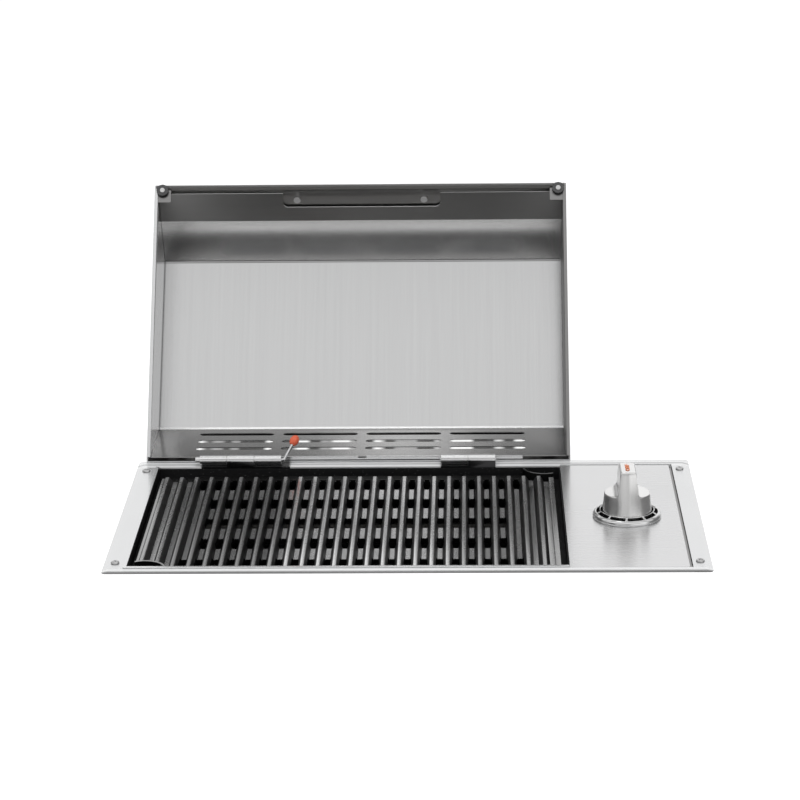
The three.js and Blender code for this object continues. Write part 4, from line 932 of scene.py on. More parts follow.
class Shape:
    """Meshes built with bmesh operators."""

    @staticmethod
    def stood(shape: BMesh, foot: Vector, turn: float = 0.0) -> BMesh:
        """Turns a shape about Z, and moves it to its place.

        Args:
            shape: the bmesh, built round the origin.
            foot: place in metres that its origin comes to.
            turn: turn in radians.

        Returns:
            The same bmesh.
        """
        matrix = Matrix.Translation(foot) @ Matrix.Rotation(turn, 4, "Z")
        bmesh.ops.transform(shape, matrix=matrix, verts=shape.verts[:])
        bmesh.ops.recalc_face_normals(shape, faces=shape.faces[:])
        return shape

    @classmethod
    def spun(cls, profile: Outline, foot: Vector, steps: int) -> BMesh:
        """Surface of revolution about an upright axis.

        Args:
            profile: radius and height of each point in millimetres.
            foot: foot of the axis.
            steps: number of steps round.

        Returns:
            The bmesh.
        """
        shape = bmesh.new()
        chain = [shape.verts.new((radius * MM, 0.0, height * MM)) for radius, height in profile]
        edges = [shape.edges.new(pair) for pair in zip(chain, chain[1:])]
        bmesh.ops.spin(shape, geom=chain + edges, cent=(0, 0, 0), axis=UP, dvec=(0, 0, 0),
                       angle=math.tau, steps=steps, use_merge=True, use_duplicate=False)
        bmesh.ops.remove_doubles(shape, verts=shape.verts[:], dist=MERGE / 2)
        return cls.stood(shape, foot)

    @staticmethod
    def grid(columns: int, rows: int, place: Callable[[int, int], Vector]) -> BMesh:
        """Sheet of quads whose corners are moved to given places.

        Args:
            columns: number of faces one way.
            rows: number of faces the other way.
            place: function from column and row to a place in metres.

        Returns:
            The bmesh.
        """
        shape = bmesh.new()
        bmesh.ops.create_grid(shape, x_segments=columns, y_segments=rows, size=1.0)
        for corner in shape.verts:
            column = round((corner.co.x + 1) / 2 * columns)
            row = round((corner.co.y + 1) / 2 * rows)
            corner.co = place(column, row)
        return shape


@dataclass
class CrossScrew:
    """Pan-head screw with a cross recess.

    Attributes:
        radius: radius of the head in millimetres.
        rise: height of the head in millimetres.
        rim: share of the height that the head has at its rim.
        dome: power of the head's curve.
        recess: depth of the recess in millimetres.
        arm: half width and half length of the cross, as shares of the radius.
        taper: share by which the recess is shallower at the rim.
        cells: faces across the head.
        shank: radius of the shank in millimetres.
        sides: sides of the shank.
    """

    radius: float = 3.8
    rise: float = 1.9
    rim: float = 0.35
    dome: float = 2.4
    recess: float = 1.3
    arm: Pair = (0.14, 0.58)
    taper: float = 0.6
    cells: int = 18
    shank: float = 2.0
    sides: int = 16

    def _place(self, column: int, row: int) -> Vector:
        """Point of the domed head, let in where the cross is.

        Args:
            column: number of the column of corners.
            row: number of the row of corners.

        Returns:
            The point in metres.
        """
        half = self.cells / 2
        u, v = (column - half) / half, (row - half) / half
        x = u * math.sqrt(1 - v * v / 2)
        y = v * math.sqrt(1 - u * u / 2)
        reach = min(1.0, math.hypot(x, y))
        curve = math.sqrt(max(0.0, 1 - reach ** self.dome))
        height = self.rise * (self.rim + (1 - self.rim) * curve)
        narrow, long = self.arm
        if min(abs(u), abs(v)) < narrow and max(abs(u), abs(v)) < long:
            height -= self.recess * (1 - reach * self.taper)
        return Vector((x * self.radius, y * self.radius, height)) * MM

    def build(self, foot: Vector, depth: float, turn: float) -> BMesh:
        """Makes head and shank.

        Args:
            foot: middle of the head's underside.
            depth: length of the shank in metres.
            turn: turn of the recess in radians.

        Returns:
            The bmesh.
        """
        shape = Shape.grid(self.cells, self.cells, self._place)
        rim = [edge for edge in shape.edges if edge.is_boundary]
        grown = bmesh.ops.extrude_edge_only(shape, edges=rim)["geom"]
        for corner in grown:
            if isinstance(corner, bmesh.types.BMVert):
                corner.co.z = 0.0
        low = [edge for edge in grown if isinstance(edge, bmesh.types.BMEdge)]
        bmesh.ops.edgenet_fill(shape, edges=low)
        Shape.stood(shape, foot, turn)
        middle = Matrix.Translation(foot - UP * (depth / 2))
        bmesh.ops.create_cone(shape, cap_ends=True, segments=self.sides, depth=depth,
                              radius1=self.shank * MM, radius2=self.shank * MM, matrix=middle)
        return shape


@dataclass
class TrimFrame:
    """Frame on the worktop with its four screws, the gasket strips and the housing.

    Attributes:
        edge: eased edge of the pressed sheet in millimetres.
        over: angle in degrees above which an edge of the frame is eased.
        thin: eased edge of the other pieces in millimetres.
        screw: the corner screws.
        turns: place of each corner screw, and the turn of its recess in radians.
        groove: width of the groove beside the control panel in millimetres.
        groove_depth: depth of the seat strip in the groove in millimetres.
        strip: thickness of that strip in millimetres.
        clear: gaps at the strip's sides and at its ends in millimetres.
    """

    edge: float = 0.3
    over: float = 20.0
    thin: float = 0.2
    screw: CrossScrew = field(default_factory=CrossScrew)
    turns: tuple[tuple[str, float], ...] = (
        ("front_left", 0.35), ("front_right", 1.0), ("back_left", 0.7), ("back_right", 0.15))
    groove: float = 2.8
    groove_depth: float = 2.4
    strip: float = 0.4
    clear: Pair = (0.08, 3.0)

    def build(self) -> None:
        """Builds the frame, its gaskets and the housing."""
        Piece.eased("frame_plate", "trim_frame", Body.BASE, Finishes.frame_steel, Slot.STEEL,
                    self.edge, self.over)
        self._groove_floor()
        for side in (*SIDES, "back"):
            Piece.eased(f"gasket_strip_{side}", f"gasket_{side}", Body.BASE, Finishes.foam,
                        Slot.RUBBER, self.thin)
        Piece.eased("housing_box", "housing", Body.BASE, Finishes.galvanised, Slot.DULL_STEEL,
                    self.thin)
        for place, turn in self.turns:
            self._screw(place, turn)

    def _groove_floor(self) -> None:
        """Builds the seat strip that shows in the groove beside the panel, in painted shade steel.
        """
        low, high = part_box("control_panel")
        side, end = self.clear
        half = Vector((self.groove / 2 - side, (high.y - low.y) / 2 / MM - end,
                       self.strip / 2)) * MM
        middle = Vector((high.x + self.groove / 2 * MM, (low.y + high.y) / 2,
                         high.z - self.groove_depth * MM))
        shape = bmesh.new()
        bmesh.ops.create_cube(shape, size=2.0, matrix=Matrix.Translation(middle)
                              @ Matrix.Diagonal((*half, 1.0)))
        Piece.of("groove_floor", shape, Body.BASE, Finishes.painted_shade_steel, Slot.STEEL)

    def _screw(self, place: str, turn: float) -> None:
        """Builds one corner screw.

        Args:
            place: its corner.
            turn: turn of its recess in radians.
        """
        node = f"corner_screw_{place}"
        low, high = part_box(node)
        foot = (low + high) / 2
        foot.z = high.z - self.screw.rise * MM
        Piece.of(f"frame_screw_{place}", self.screw.build(foot, foot.z - low.z, turn), Body.BASE,
                 Finishes.screw_steel, Slot.CHROME, (node,))


@dataclass
class CookingWell:
    """Firebox with its bright rim, tray, element and partition.

    Attributes:
        edge: eased edge of the sheets in millimetres.
        bead: eased edge of the terminals in millimetres.
        rim_height: height in millimetres above the worktop from which the box is bare steel.
    """

    edge: float = 0.2
    bead: float = 0.8
    rim_height: float = 1.25

    def build(self) -> None:
        """Builds the well from the outside in."""
        box = Piece.eased("firebox_pan", "firebox", Body.BASE, Finishes.enamel, Slot.ENAMEL,
                          self.edge)
        rim = self.rim_height * MM + DECK
        Piece.shades(box, (Finishes.frame_steel,), lambda face: int(face.center.z > rim))
        Piece.eased("tray_pan", "drip_tray", Body.BASE, Finishes.enamel, Slot.DULL_STEEL, self.edge)
        for side in SIDES:
            Piece.eased(f"bracket_{side}", f"element_bracket_{side}", Body.BASE,
                        Finishes.enamel, Slot.DULL_STEEL, self.edge)
        for where in ("front", "back"):
            Piece.eased(f"terminal_bead_{where}", f"element_terminal_{where}", Body.BASE,
                        Finishes.ceramic, Slot.CERAMIC, self.bead)
        Piece.eased("partition_sheet", "heat_partition", Body.BASE, Finishes.galvanised,
                    Slot.DULL_STEEL, self.edge)
        Piece.whole("element_bar", "heating_element", Body.BASE, Finishes.element,
                    Slot.ELEMENT_SHEATH, 50.0)


@dataclass
class GrillPlate:
    """Cast plate with ribs, slots and two finger notches.

    Attributes:
        edge: rounded edge of the casting in millimetres.
        over: angle in degrees above which an edge of the casting is rounded.
        flank: depth in millimetres below the plate's top that the ribs' flanks reach.
        steep: part of a normal along X or Y from which a face counts as steep.
        under: part of a normal along Z below which a face counts as an underside.
        foot: height in metres of the flanks' foot.
    """

    edge: float = 0.5
    over: float = 18.0
    flank: float = 7.2
    steep: float = 0.5
    under: float = -0.3
    foot: float = field(init=False)

    def build(self) -> None:
        """Builds the casting."""
        self.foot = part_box("grill_plate")[1].z - self.flank * MM
        plate = Piece.eased("plate_casting", "grill_plate", Body.PLATE, Finishes.cast_plate,
                            Slot.COATED_CAST, self.edge, self.over, smooth=50.0)
        # The ribs' flanks, slots and undersides wear painted shade.
        Piece.shades(plate, (Finishes.flank_painted_shade, Finishes.painted_shadow_black), self._choose)

    def _choose(self, face: bpy.types.MeshPolygon) -> int:
        """Number of a face's finish.

        Args:
            face: a face of the casting.

        Returns:
            1 on the ribs' flanks and 2 in the slots and below, both in painted shade, and 0
            elsewhere.
        """
        if abs(face.normal.y) > self.steep or face.normal.z < self.under:
            return 2
        if abs(face.normal.x) <= self.steep:
            return 0
        return 1 if face.center.z > self.foot else 2


@dataclass
class ControlPanel:
    """Panel beside the cooking opening, with what sits under it.

    Attributes:
        edge: eased edge of the plate in millimetres.
        roll: width of the rolled edge along the groove in millimetres.
        under: piece, CAD node, body, finish, slot and eased edge of each part under the plate.
        leads: CAD names of the wires, without their first word.
    """

    edge: float = 0.3
    roll: float = 0.8
    under: tuple[tuple[str, str, Body, Finish, Slot, float], ...] = (
        ("regulator_body", "heat_regulator", Body.BASE, Finishes.black_plastic,
         Slot.BLACK_PLASTIC, 0.5),
        ("regulator_seat", "regulator_plate", Body.BASE, Finishes.galvanised, Slot.DULL_STEEL, 0.3),
        ("bush_nut", "regulator_nut", Body.BASE, Finishes.brass, Slot.BRASS, 0.3),
        ("spindle_bar", "regulator_spindle", Body.KNOB, Finishes.screw_steel, Slot.DULL_STEEL, 0.3),
        ("terminal_strip", "terminal_block", Body.BASE, Finishes.black_plastic,
         Slot.BLACK_PLASTIC, 0.4),
        ("gland_body", "cable_gland", Body.BASE, Finishes.black_plastic, Slot.BLACK_PLASTIC, 0.5),
        ("gland_ring", "gland_nut", Body.BASE, Finishes.black_plastic, Slot.BLACK_PLASTIC, 0.4))
    leads: tuple[str, ...] = ("front_element", "back_element", "regulator")

    def build(self) -> None:
        """Builds the plate and the parts of the control compartment."""
        plate = Piece.eased("panel_plate", "control_panel", Body.BASE, Finishes.panel_steel,
                            Slot.STEEL, self.edge)
        Piece.rounded(plate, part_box("control_panel")[1].x, self.roll)
        for row in self.under:
            Piece.eased(*row)
        for lead in self.leads:
            Piece.whole(f"wire_{lead}", f"lead_{lead}", Body.BASE, Finishes.wire_cover,
                        Slot.WIRE_COVER, 60.0)


@dataclass
class ControlKnob:
    """Knob with a central grip between two scooped shoulders, its bezel and its letters.

    Attributes:
        sides: height and radius of the tapered body in millimetres.
        crest: distance from the middle and height across the knob in millimetres.
        angles: angle at the foot that belongs to each point of the crest, in degrees.
        levels: heights of the side's rows as shares of the crest's height.
        across: rows of faces over the crest.
        ease: width of the rounded edge along the crest in millimetres.
        bevel: share of that width at which the edge's middle row lies.
        ring: radius and height of the bezel's outline in millimetres.
        band: inner and outer radius of the slots in millimetres.
        slots: number of slots in the bezel.
        steps: steps of the bezel for each slot.
        turned: turn of the slots in degrees, so that a bridge faces the cook.
        wall: thickness of the bezel in millimetres.
        baffle: radius and height of the black ring of painted shade behind the slots in
            millimetres.
        baffle_steps: steps round that ring.
        letters: lettering on the grip.
        letter_size: height of the letters in millimetres, before they are stretched.
        letter_depth: half the thickness of the letters, and what their strokes gain on each
            side, in millimetres.
        stretch: width and height of the letters as shares of the font's.
        sunk: depth of the letters' middle below the top of the grip's mark in millimetres.
    """

    sides: Outline = (
        (0.0, 22.7), (0.5, 23.1), (1.3, 23.2), (5.0, 22.75), (10.25, 22.0), (16.0, 21.4),
        (20.5, 20.9), (26.0, 20.05), (32.0, 18.95), (38.0, 17.55), (43.6, 16.0))
    crest: Outline = (
        (0.0, 43.6), (2.5, 43.6), (5.0, 43.58), (6.1, 43.45), (6.8, 43.05), (7.25, 42.35),
        (7.45, 41.2), (7.7, 36.5), (8.0, 30.0), (8.35, 25.2), (9.0, 23.2), (10.0, 21.95),
        (11.4, 21.15), (13.2, 20.7), (15.3, 20.5), (17.2, 20.35), (18.7, 20.2), (19.8, 20.1),
        (20.5, 20.0), (20.92, 19.95))
    angles: tuple[float, ...] = (90.0, 85.0, 80.0, 76.5, 74.0, 72.0, 70.5, 69.0, 67.5, 66.0,
                                 63.5)
    levels: tuple[float, ...] = (0.0, 0.012, 0.03, 0.12, 0.25, 0.4, 0.55, 0.7, 0.82, 0.91, 0.96)
    across: int = 10
    ease: float = 0.9
    bevel: float = 0.3
    ring: Outline = (
        (29.8, 0.0), (31.0, 0.0), (31.3, 0.6), (31.4, 1.4), (31.25, 2.3), (30.75, 3.2),
        (30.0, 3.95), (29.2, 4.4), (28.2, 4.75), (25.2, 6.32), (24.85, 6.62), (24.5, 6.78),
        (24.2, 6.6), (24.1, 6.2), (24.1, 5.0))
    band: Pair = (25.2, 28.2)
    slots: int = 10
    steps: int = 18
    turned: float = 3.4
    wall: float = 0.7
    baffle: Outline = ((24.0, 3.2), (28.6, 3.2), (28.6, 3.5), (24.0, 3.9), (24.0, 3.2))
    baffle_steps: int = 64
    letters: str = "OFF"
    letter_size: float = 8.6
    letter_depth: float = 0.15
    stretch: Pair = (1.15, 0.62)
    sunk: float = 0.16

    @property
    def rows(self) -> int:
        """Rows of faces over the knob, from front to back."""
        return len(self.levels) * 2 + 3 + self.across

    def build(self) -> None:
        """Builds bezel, knob and letters."""
        low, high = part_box("control_knob")
        foot = Vector(((low.x + high.x) / 2, (low.y + high.y) / 2, low.z))
        self._bezel(Vector((foot.x, foot.y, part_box("knob_bezel")[0].z)))
        self._body(foot)
        self._letters(foot)

    def _radius(self, height: float) -> float:
        """Radius of the tapered body.

        Args:
            height: height above the knob's underside in millimetres.

        Returns:
            The radius in millimetres.
        """
        for (low, wide), (high, slim) in zip(self.sides, self.sides[1:]):
            if height <= high:
                return wide + (slim - wide) * max(0.0, height - low) / (high - low)
        return self.sides[-1][1]

    def _skin(self, column: int, row: int) -> Vector:
        """Point of the sheet that runs over the knob from back to front.

        Args:
            column: number of the column of corners, from left to right.
            row: number of the row of corners, from front to back.

        Returns:
            The point in millimetres from the middle of the knob's underside.
        """
        half, rim, rows = len(self.crest) - 1, len(self.levels), self.rows
        index = abs(column - half)
        way = 1 if column > half else -1
        x, top = self.crest[index]
        wide = self._radius(top)
        end = math.sqrt(max(0.0, wide * wide - x * x))
        step, facing = (rows - row, 1) if row > rows / 2 else (row, -1)
        if step < rim:
            crown = math.degrees(math.atan2(end, x))
            base = self.angles[index] if index < len(self.angles) else crown
            height = self.levels[step] * top
            share = self.levels[step] / self.levels[-1]
            angle = math.radians(base + (crown - base) * share)
            reach = self._radius(height)
            return Vector((way * reach * math.cos(angle), facing * reach * math.sin(angle),
                           height))
        ease = min(self.ease, end)
        if step == rim:
            return Vector((way * x, facing * (end - ease * self.bevel),
                           top - self.ease * self.bevel))
        share = 1 - 2 * (row - rim - 1) / (rows - 2 * rim - 2)
        return Vector((way * x, -max(0.0, end - ease) * share, top))

    def _body(self, foot: Vector) -> None:
        """Makes the knob.

        Args:
            foot: middle of the knob's underside.
        """
        shape = Shape.grid(len(self.crest) * 2 - 2, self.rows,
                           lambda column, row: foot + self._skin(column, row) * MM)
        bmesh.ops.remove_doubles(shape, verts=shape.verts[:], dist=MERGE)
        bmesh.ops.holes_fill(shape, edges=[e for e in shape.edges if e.is_boundary], sides=0)
        bmesh.ops.recalc_face_normals(shape, faces=shape.faces[:])
        made = Piece.of("knob_body", shape, Body.KNOB, Finishes.knob_satin, Slot.STEEL,
                        ("control_knob",), 60.0)
        Piece.modified(made, "Finer skin", "SUBSURF", levels=1, render_levels=1)

    def _bezel(self, seat: Vector) -> None:
        """Makes the polished ring with its slots, and the black ring of painted shade behind them.

        Args:
            seat: middle of the bezel's underside.
        """
        count = self.slots * self.steps
        shape = Shape.spun(self.ring, seat, count)
        inner, outer = (radius * MM for radius in self.band)
        open_faces = []
        for face in shape.faces:
            middle = face.calc_center_median() - seat
            angle = (math.atan2(middle.y, middle.x) + math.radians(self.turned)) % math.tau
            step = int(angle / (math.tau / count)) % self.steps
            bridge = abs(step - self.steps / 2 + 0.5) <= 1
            if inner < math.hypot(middle.x, middle.y) < outer and not bridge:
                open_faces.append(face)
        bmesh.ops.delete(shape, geom=open_faces, context="FACES")
        bmesh.ops.recalc_face_normals(shape, faces=shape.faces[:])
        made = Piece.of("bezel_ring", shape, Body.BASE, Finishes.bezel_chrome, Slot.CHROME,
                        ("knob_bezel",), 50.0)
        Piece.modified(made, "Sheet", "SOLIDIFY", thickness=self.wall * MM, offset=-1.0)
        Piece.of("bezel_baffle", Shape.spun(self.baffle, seat, self.baffle_steps), Body.BASE,
                 Finishes.painted_shadow_black, Slot.BLACK_PLASTIC)

    def _letters(self, foot: Vector) -> None:
        """Paints the letters on the grip's top.

        Args:
            foot: middle of the knob's underside.
        """
        curve = bpy.data.curves.new("knob letters", "FONT")
        curve.body = self.letters
        curve.size = self.letter_size * MM
        curve.extrude = curve.offset = self.letter_depth * MM
        curve.align_x = curve.align_y = "CENTER"
        carrier = linked("knob letters", curve)
        shape = bmesh.new()
        shape.from_mesh(bpy.data.meshes.new_from_object(carrier))
        bpy.data.objects.remove(carrier)
        stretched = Matrix.Diagonal((*self.stretch, 1.0, 1.0))
        bmesh.ops.transform(shape, matrix=Matrix.Rotation(math.pi / 2, 4, "Z") @ stretched,
                            verts=shape.verts[:])
        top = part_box("knob_mark")[1].z - self.sunk * MM
        bmesh.ops.translate(shape, vec=(foot.x, foot.y, top), verts=shape.verts[:])
        Piece.of("knob_letters", shape, Body.KNOB, Finishes.orange_paint, Slot.ORANGE_PAINT,
                 ("knob_mark",))


@dataclass
class Lid:
    """Lid with its inner liner, handle, corner tabs and rubber bumpers.

    Attributes:
        edge: eased edge of the sheets in millimetres.
        over: angle in degrees above which an edge of a fixing is eased.
        lip_depth: height in millimetres below the liner's top down to which its lip reaches.
        slope_depth: the same for its slope.
        wall_depth: the same for the upper end of its slotted wall.
        bend: height of the bend above that wall in millimetres.
        lip: normal of the lip.
        vent_depth: height in millimetres above the liner of the sheet behind the vents.
        front_depth: height in millimetres below the liner's top of the front sheet.
        inward: part of a normal towards the liner from which a face is an inner one.
        level: part of a normal along Z from which a face is level.
        facing: part of a normal along the lip's from which a face isn't a cut edge.
        cheek_facing: parts of a normal along X and Y below which the right cheek wears painted
            shade.
        fixings: piece, CAD node, finish, slot and eased edge, once for what the bumpers have
            and once for what the handle has.
        low: lowest corner of the liner in metres.
        high: highest corner of the liner in metres.
    """

    edge: float = 0.22
    over: float = 40.0
    lip_depth: float = 26.0
    slope_depth: float = 76.0
    wall_depth: float = 224.05
    bend: float = 2.0
    lip: Point = (0.0, -0.96, -0.28)
    vent_depth: float = 12.0
    front_depth: float = 45.0
    inward: float = 0.05
    level: float = 0.9
    facing: float = 0.8
    cheek_facing: Pair = (-0.5, -0.7)
    fixings: tuple[tuple[tuple[str, str, Finish, Slot, float], ...], ...] = (
        (("bumper_pad", "bumper", Finishes.rubber, Slot.RUBBER, 0.5),
         ("bumper_fixing", "bumper_screw", Finishes.screw_steel, Slot.CHROME, 0.2)),
        (("handle_fixing", "handle_screw", Finishes.screw_steel, Slot.CHROME, 0.3),))
    low: Vector = field(init=False)
    high: Vector = field(init=False)

    def build(self) -> None:
        """Builds the lid from the outside in."""
        self.low, self.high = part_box("lid_liner")
        shell = Piece.eased("lid_outer_sheet", "lid_shell", Body.LID, Finishes.shell_steel,
                            Slot.STEEL, self.edge)
        # Inner side at the front: painted shade; behind the vents: painted glints.
        Piece.shades(shell, (Finishes.painted_shade_inner, Finishes.painted_glints), self._inside)
        for side, cheek in zip(SIDES, (Finishes.cheek_steel, Finishes.shaded_steel)):
            end = Piece.eased(f"lid_cheek_{side}", f"lid_end_{side}", Body.LID,
                              Finishes.shell_steel, Slot.STEEL, self.edge)
            if side == "right":
                Piece.shades(end, (Finishes.painted_shade_steel,), self._cheek)
            Piece.eased(f"liner_cheek_{side}", f"lid_liner_side_{side}", Body.LID, cheek,
                        Slot.LINER, self.edge)
            # The corner tabs wear the dark steel of painted shade.
            Piece.eased(f"corner_tab_{side}", f"lid_tab_{side}", Body.LID, Finishes.painted_shade_steel,
                        Slot.STEEL, self.edge)
        sheet = Piece.eased("lid_inner_sheet", "lid_liner", Body.LID, Finishes.liner_steel,
                            Slot.LINER, self.edge, smooth=30.0)
        Piece.shades(sheet, (Finishes.painted_shade_steel, Finishes.painted_highlight_edge, Finishes.painted_light_slope,
                             Finishes.painted_shade_wall), self._fold)
        Piece.whole("handle_bow", "lid_handle", Body.LID, Finishes.shell_steel, Slot.STEEL, 50.0)
        for rows in self.fixings:
            for side in SIDES:
                for name, node, finish, slot, edge in rows:
                    Piece.eased(f"{name}_{side}", f"{node}_{side}", Body.LID, finish, slot,
                                edge, self.over)

    def _cheek(self, face: bpy.types.MeshPolygon) -> int:
        """1 for a face of the right cheek in painted shade, and 0 for another."""
        return int(face.normal.x < self.cheek_facing[0] or face.normal.y < self.cheek_facing[1])

    def _inside(self, face: bpy.types.MeshPolygon) -> int:
        """Number of a face's finish on the outer sheet.

        Args:
            face: a face of the sheet.

        Returns:
            1 on the inner side at the front, in painted shade, 2 behind the vents, with painted
            glints, and 0 elsewhere.
        """
        inward = (self.low + self.high) / 2 - face.center
        inward.x = 0.0
        front = face.center.z > self.high.z - self.front_depth * MM
        if front and face.normal.dot(inward.normalized()) > self.inward:
            return 1
        behind = face.center.z < self.low.z + self.vent_depth * MM
        return 2 if behind and face.normal.z > self.level else 0

    def _fold(self, face: bpy.types.MeshPolygon) -> int:
        """Number of a face's finish on the liner.

        Args:
            face: a face of the liner.

        Returns:
            1 on the lip, in painted shade, 2 on cut edges and the bend, with a painted highlight,
            3 on the slope, in painted light, 4 on the slotted wall, in painted shade, and 0
            elsewhere.
        """
        depth = (self.high.z - face.center.z) / MM
        if depth < self.lip_depth:
            return 1 if abs(face.normal.dot(Vector(self.lip))) > self.facing else 2
        if depth < self.slope_depth:
            return 3
        if depth > self.wall_depth:
            return 4
        return 2 if depth > self.wall_depth - self.bend else 0


@dataclass
class Hinges:
    """Hinge leaves, the fixed pin and the release pin with its cap.

    Attributes:
        edge: eased edge of the leaves in millimetres.
        pin_edge: eased edge of the fixed pin in millimetres.
        over: angle in degrees above which an edge of that pin is eased.
        barrel: radius in millimetres within which the leaves are bright, with painted shade
            outside.
        axis: a place on the hinges' axis in metres.
    """

    edge: float = 0.25
    pin_edge: float = 0.2
    over: float = 40.0
    barrel: float = 5.5
    axis: Vector = field(init=False)

    def build(self) -> None:
        """Builds leaves and pins."""
        low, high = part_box("fixed_hinge_pin")
        self.axis = (low + high) / 2
        Piece.eased("lid_hinge_leaf", "lid_leaf", Body.LID, Finishes.hinge_steel, Slot.STEEL,
                    self.edge)
        for side in SIDES:
            leaf = Piece.eased(f"frame_hinge_leaf_{side}", f"frame_leaf_{side}", Body.BASE,
                               Finishes.hinge_steel, Slot.STEEL, self.edge)
            Piece.shades(leaf, (Finishes.leaf_painted_shade,), self._outside)
        Piece.eased("right_hinge_pin", "fixed_hinge_pin", Body.BASE, Finishes.screw_steel,
                    Slot.DULL_STEEL, self.pin_edge, self.over)
        Piece.whole("release_wire", "release_pin", Body.PIN, Finishes.bright_wire,
                    Slot.DULL_STEEL, 50.0)
        Piece.whole("release_cap", "pin_cap", Body.PIN, Finishes.red_cap, Slot.RED_PLASTIC, 60.0)

    def _outside(self, face: bpy.types.MeshPolygon) -> int:
        """1 for a leaf face outside its knuckles, in painted shade, and 0 for one of the knuckles.
        """
        away = face.center - self.axis
        return int(math.hypot(away.y, away.z) > self.barrel * MM)


@dataclass
class Studio:
    """Camera, worktop, floor and light.

    Attributes:
        place: camera place in metres.
        pitch: downward pitch in degrees.
        yaw: turn about the vertical in degrees.
        roll: roll in degrees.
        lens: focal length in millimetres.
        sensor: width of the sensor in millimetres.
        clip: distance in metres up to which the camera sees.
        plain: strength of the light from all round on matt surfaces.
        walls: angle from the front to the right in degrees, and the brightness mirrored there.
        vault: angle from the front horizon over the top in degrees, and its brightness.
        join: rise between which the walls give way to the vault.
        strip: width and depth of the strip box in metres.
        strip_place: middle of the strip box.
        strip_level: brightness of the strip box.
        lamps: name, place, aim, size and power of each soft lamp.
        mirrored_floor: share of the floor's own brightness that metal mirrors.
        paper: brightness of the floor under light.
        glow: the floor's own brightness.
        beyond: X in metres beyond which metal mirrors a darker floor.
        darker: what the floor loses in metal, before that X and beyond it.
        floor: half width of the floor in metres.
        worktop: left, right, front and back of the worktop in metres.
        gap: gap beside and behind the housing in metres.
        sunk: depth in metres of the worktop's face below the frame.
    """

    place: Point = (0.057, -2.424, 0.961)
    pitch: float = 17.31
    yaw: float = -1.53
    roll: float = -0.74
    lens: float = 125.64
    sensor: float = 36.0
    clip: float = 50.0
    plain: float = 0.6
    walls: Outline = (
        (-180, 1.0), (-152, 1.0), (-130, 0.1), (-100, 0.1), (-85, 0.35), (-65, 0.3),
        (-52, 0.12), (-36, 0.6), (-15, 0.7), (2, 0.6), (14, 1.0), (62, 1.0),
        (80, 0.3), (100, 0.2), (130, 0.2), (152, 1.0), (180, 1.0))
    vault: Outline = (
        (0, 0.17), (38, 0.17), (45, 0.55), (51, 0.95), (56, 1.0), (80, 0.98), (87, 0.2), (93, 0.2),
        (98, 0.95), (112, 0.95), (119, 0.35), (130, 0.35), (137, 0.8), (143, 1.0), (180, 1.0))
    join: Pair = (0.35, 0.6)
    strip: Pair = (0.17, 0.5)
    strip_place: Point = (-0.05, 0.27, 1.5)
    strip_level: float = 1.3
    lamps: tuple[tuple[str, Point, Point, float, float], ...] = (
        ("Top lamp", (0.0, -0.2, 2.2), (0.0, 0.1, 0.1), 2.4, 26.0),
        ("Front lamp", (-1.6, -2.2, 1.5), (0.0, 0.0, 0.15), 1.6, 18.0))
    mirrored_floor: float = 0.15
    paper: float = 0.5
    glow: float = 0.72
    beyond: float = 0.25
    darker: Pair = (0.05, 0.42)
    floor: float = 6.0
    worktop: tuple[float, float, float, float] = (-0.34, 0.34, -0.62, 0.2)
    gap: Pair = (0.001, 0.0012)
    sunk: float = 0.0002

    def build(self) -> None:
        """Sets up the whole studio."""
        self._camera()
        self._world()
        self._ground()
        self._lights()
        bpy.context.scene.view_settings.view_transform = "Standard"

    def _camera(self) -> None:
        """Places the camera as solved from the frame's corners."""
        pitch, yaw, roll = (math.radians(v) for v in (self.pitch, self.yaw, self.roll))
        side = Vector((math.cos(yaw), -math.sin(yaw), 0))
        level = Vector((math.sin(yaw), math.cos(yaw), 0))
        ahead = level * math.cos(pitch) - UP * math.sin(pitch)
        above = side.cross(ahead)
        right = side * math.cos(roll) + above * math.sin(roll)
        up = -side * math.sin(roll) + above * math.cos(roll)
        lens = bpy.data.cameras.new("Camera")
        lens.lens, lens.sensor_width, lens.clip_end = self.lens, self.sensor, self.clip
        made = linked("Camera", lens)
        turn = Matrix((right, up, -ahead)).transposed()
        made.matrix_world = Matrix.Translation(self.place) @ turn.to_4x4()
        bpy.context.scene.camera = made

    @staticmethod
    def _mixed(sheet: NodeSheet, factor: Socket, low: Socket, high: Socket) -> Socket:
        """Mixes two shaders.

        Args:
            sheet: sheet of the world.
            factor: the mix factor.
            low: shader at 0.
            high: shader at 1.

        Returns:
            The mixed shader.
        """
        node = sheet.add("MixShader")
        for target, value in zip(node.inputs, (factor, low, high)):
            sheet.put(target, value)
        return node.outputs[0]

    def _world(self) -> None:
        """White surroundings for the eye, and a plain studio in what the metal mirrors."""
        world = bpy.data.worlds.new("Studio")
        bpy.context.scene.world = world
        sheet = NodeSheet.blank(world)
        path = sheet.add("LightPath").outputs
        plain, glossy, white = (
            sheet.add("Background", Strength=level, Color=colour).outputs[0]
            for level, colour in ((self.plain, WHITE), (1.0, self._mirrored(sheet)),
                                  (1.0, WHITE)))
        seen = sheet.maths("MAXIMUM", path["Is Camera Ray"], path["Is Transmission Ray"])
        lit = self._mixed(sheet, path["Is Glossy Ray"], plain, glossy)
        sheet.add("OutputWorld", Surface=self._mixed(sheet, seen, lit, white))

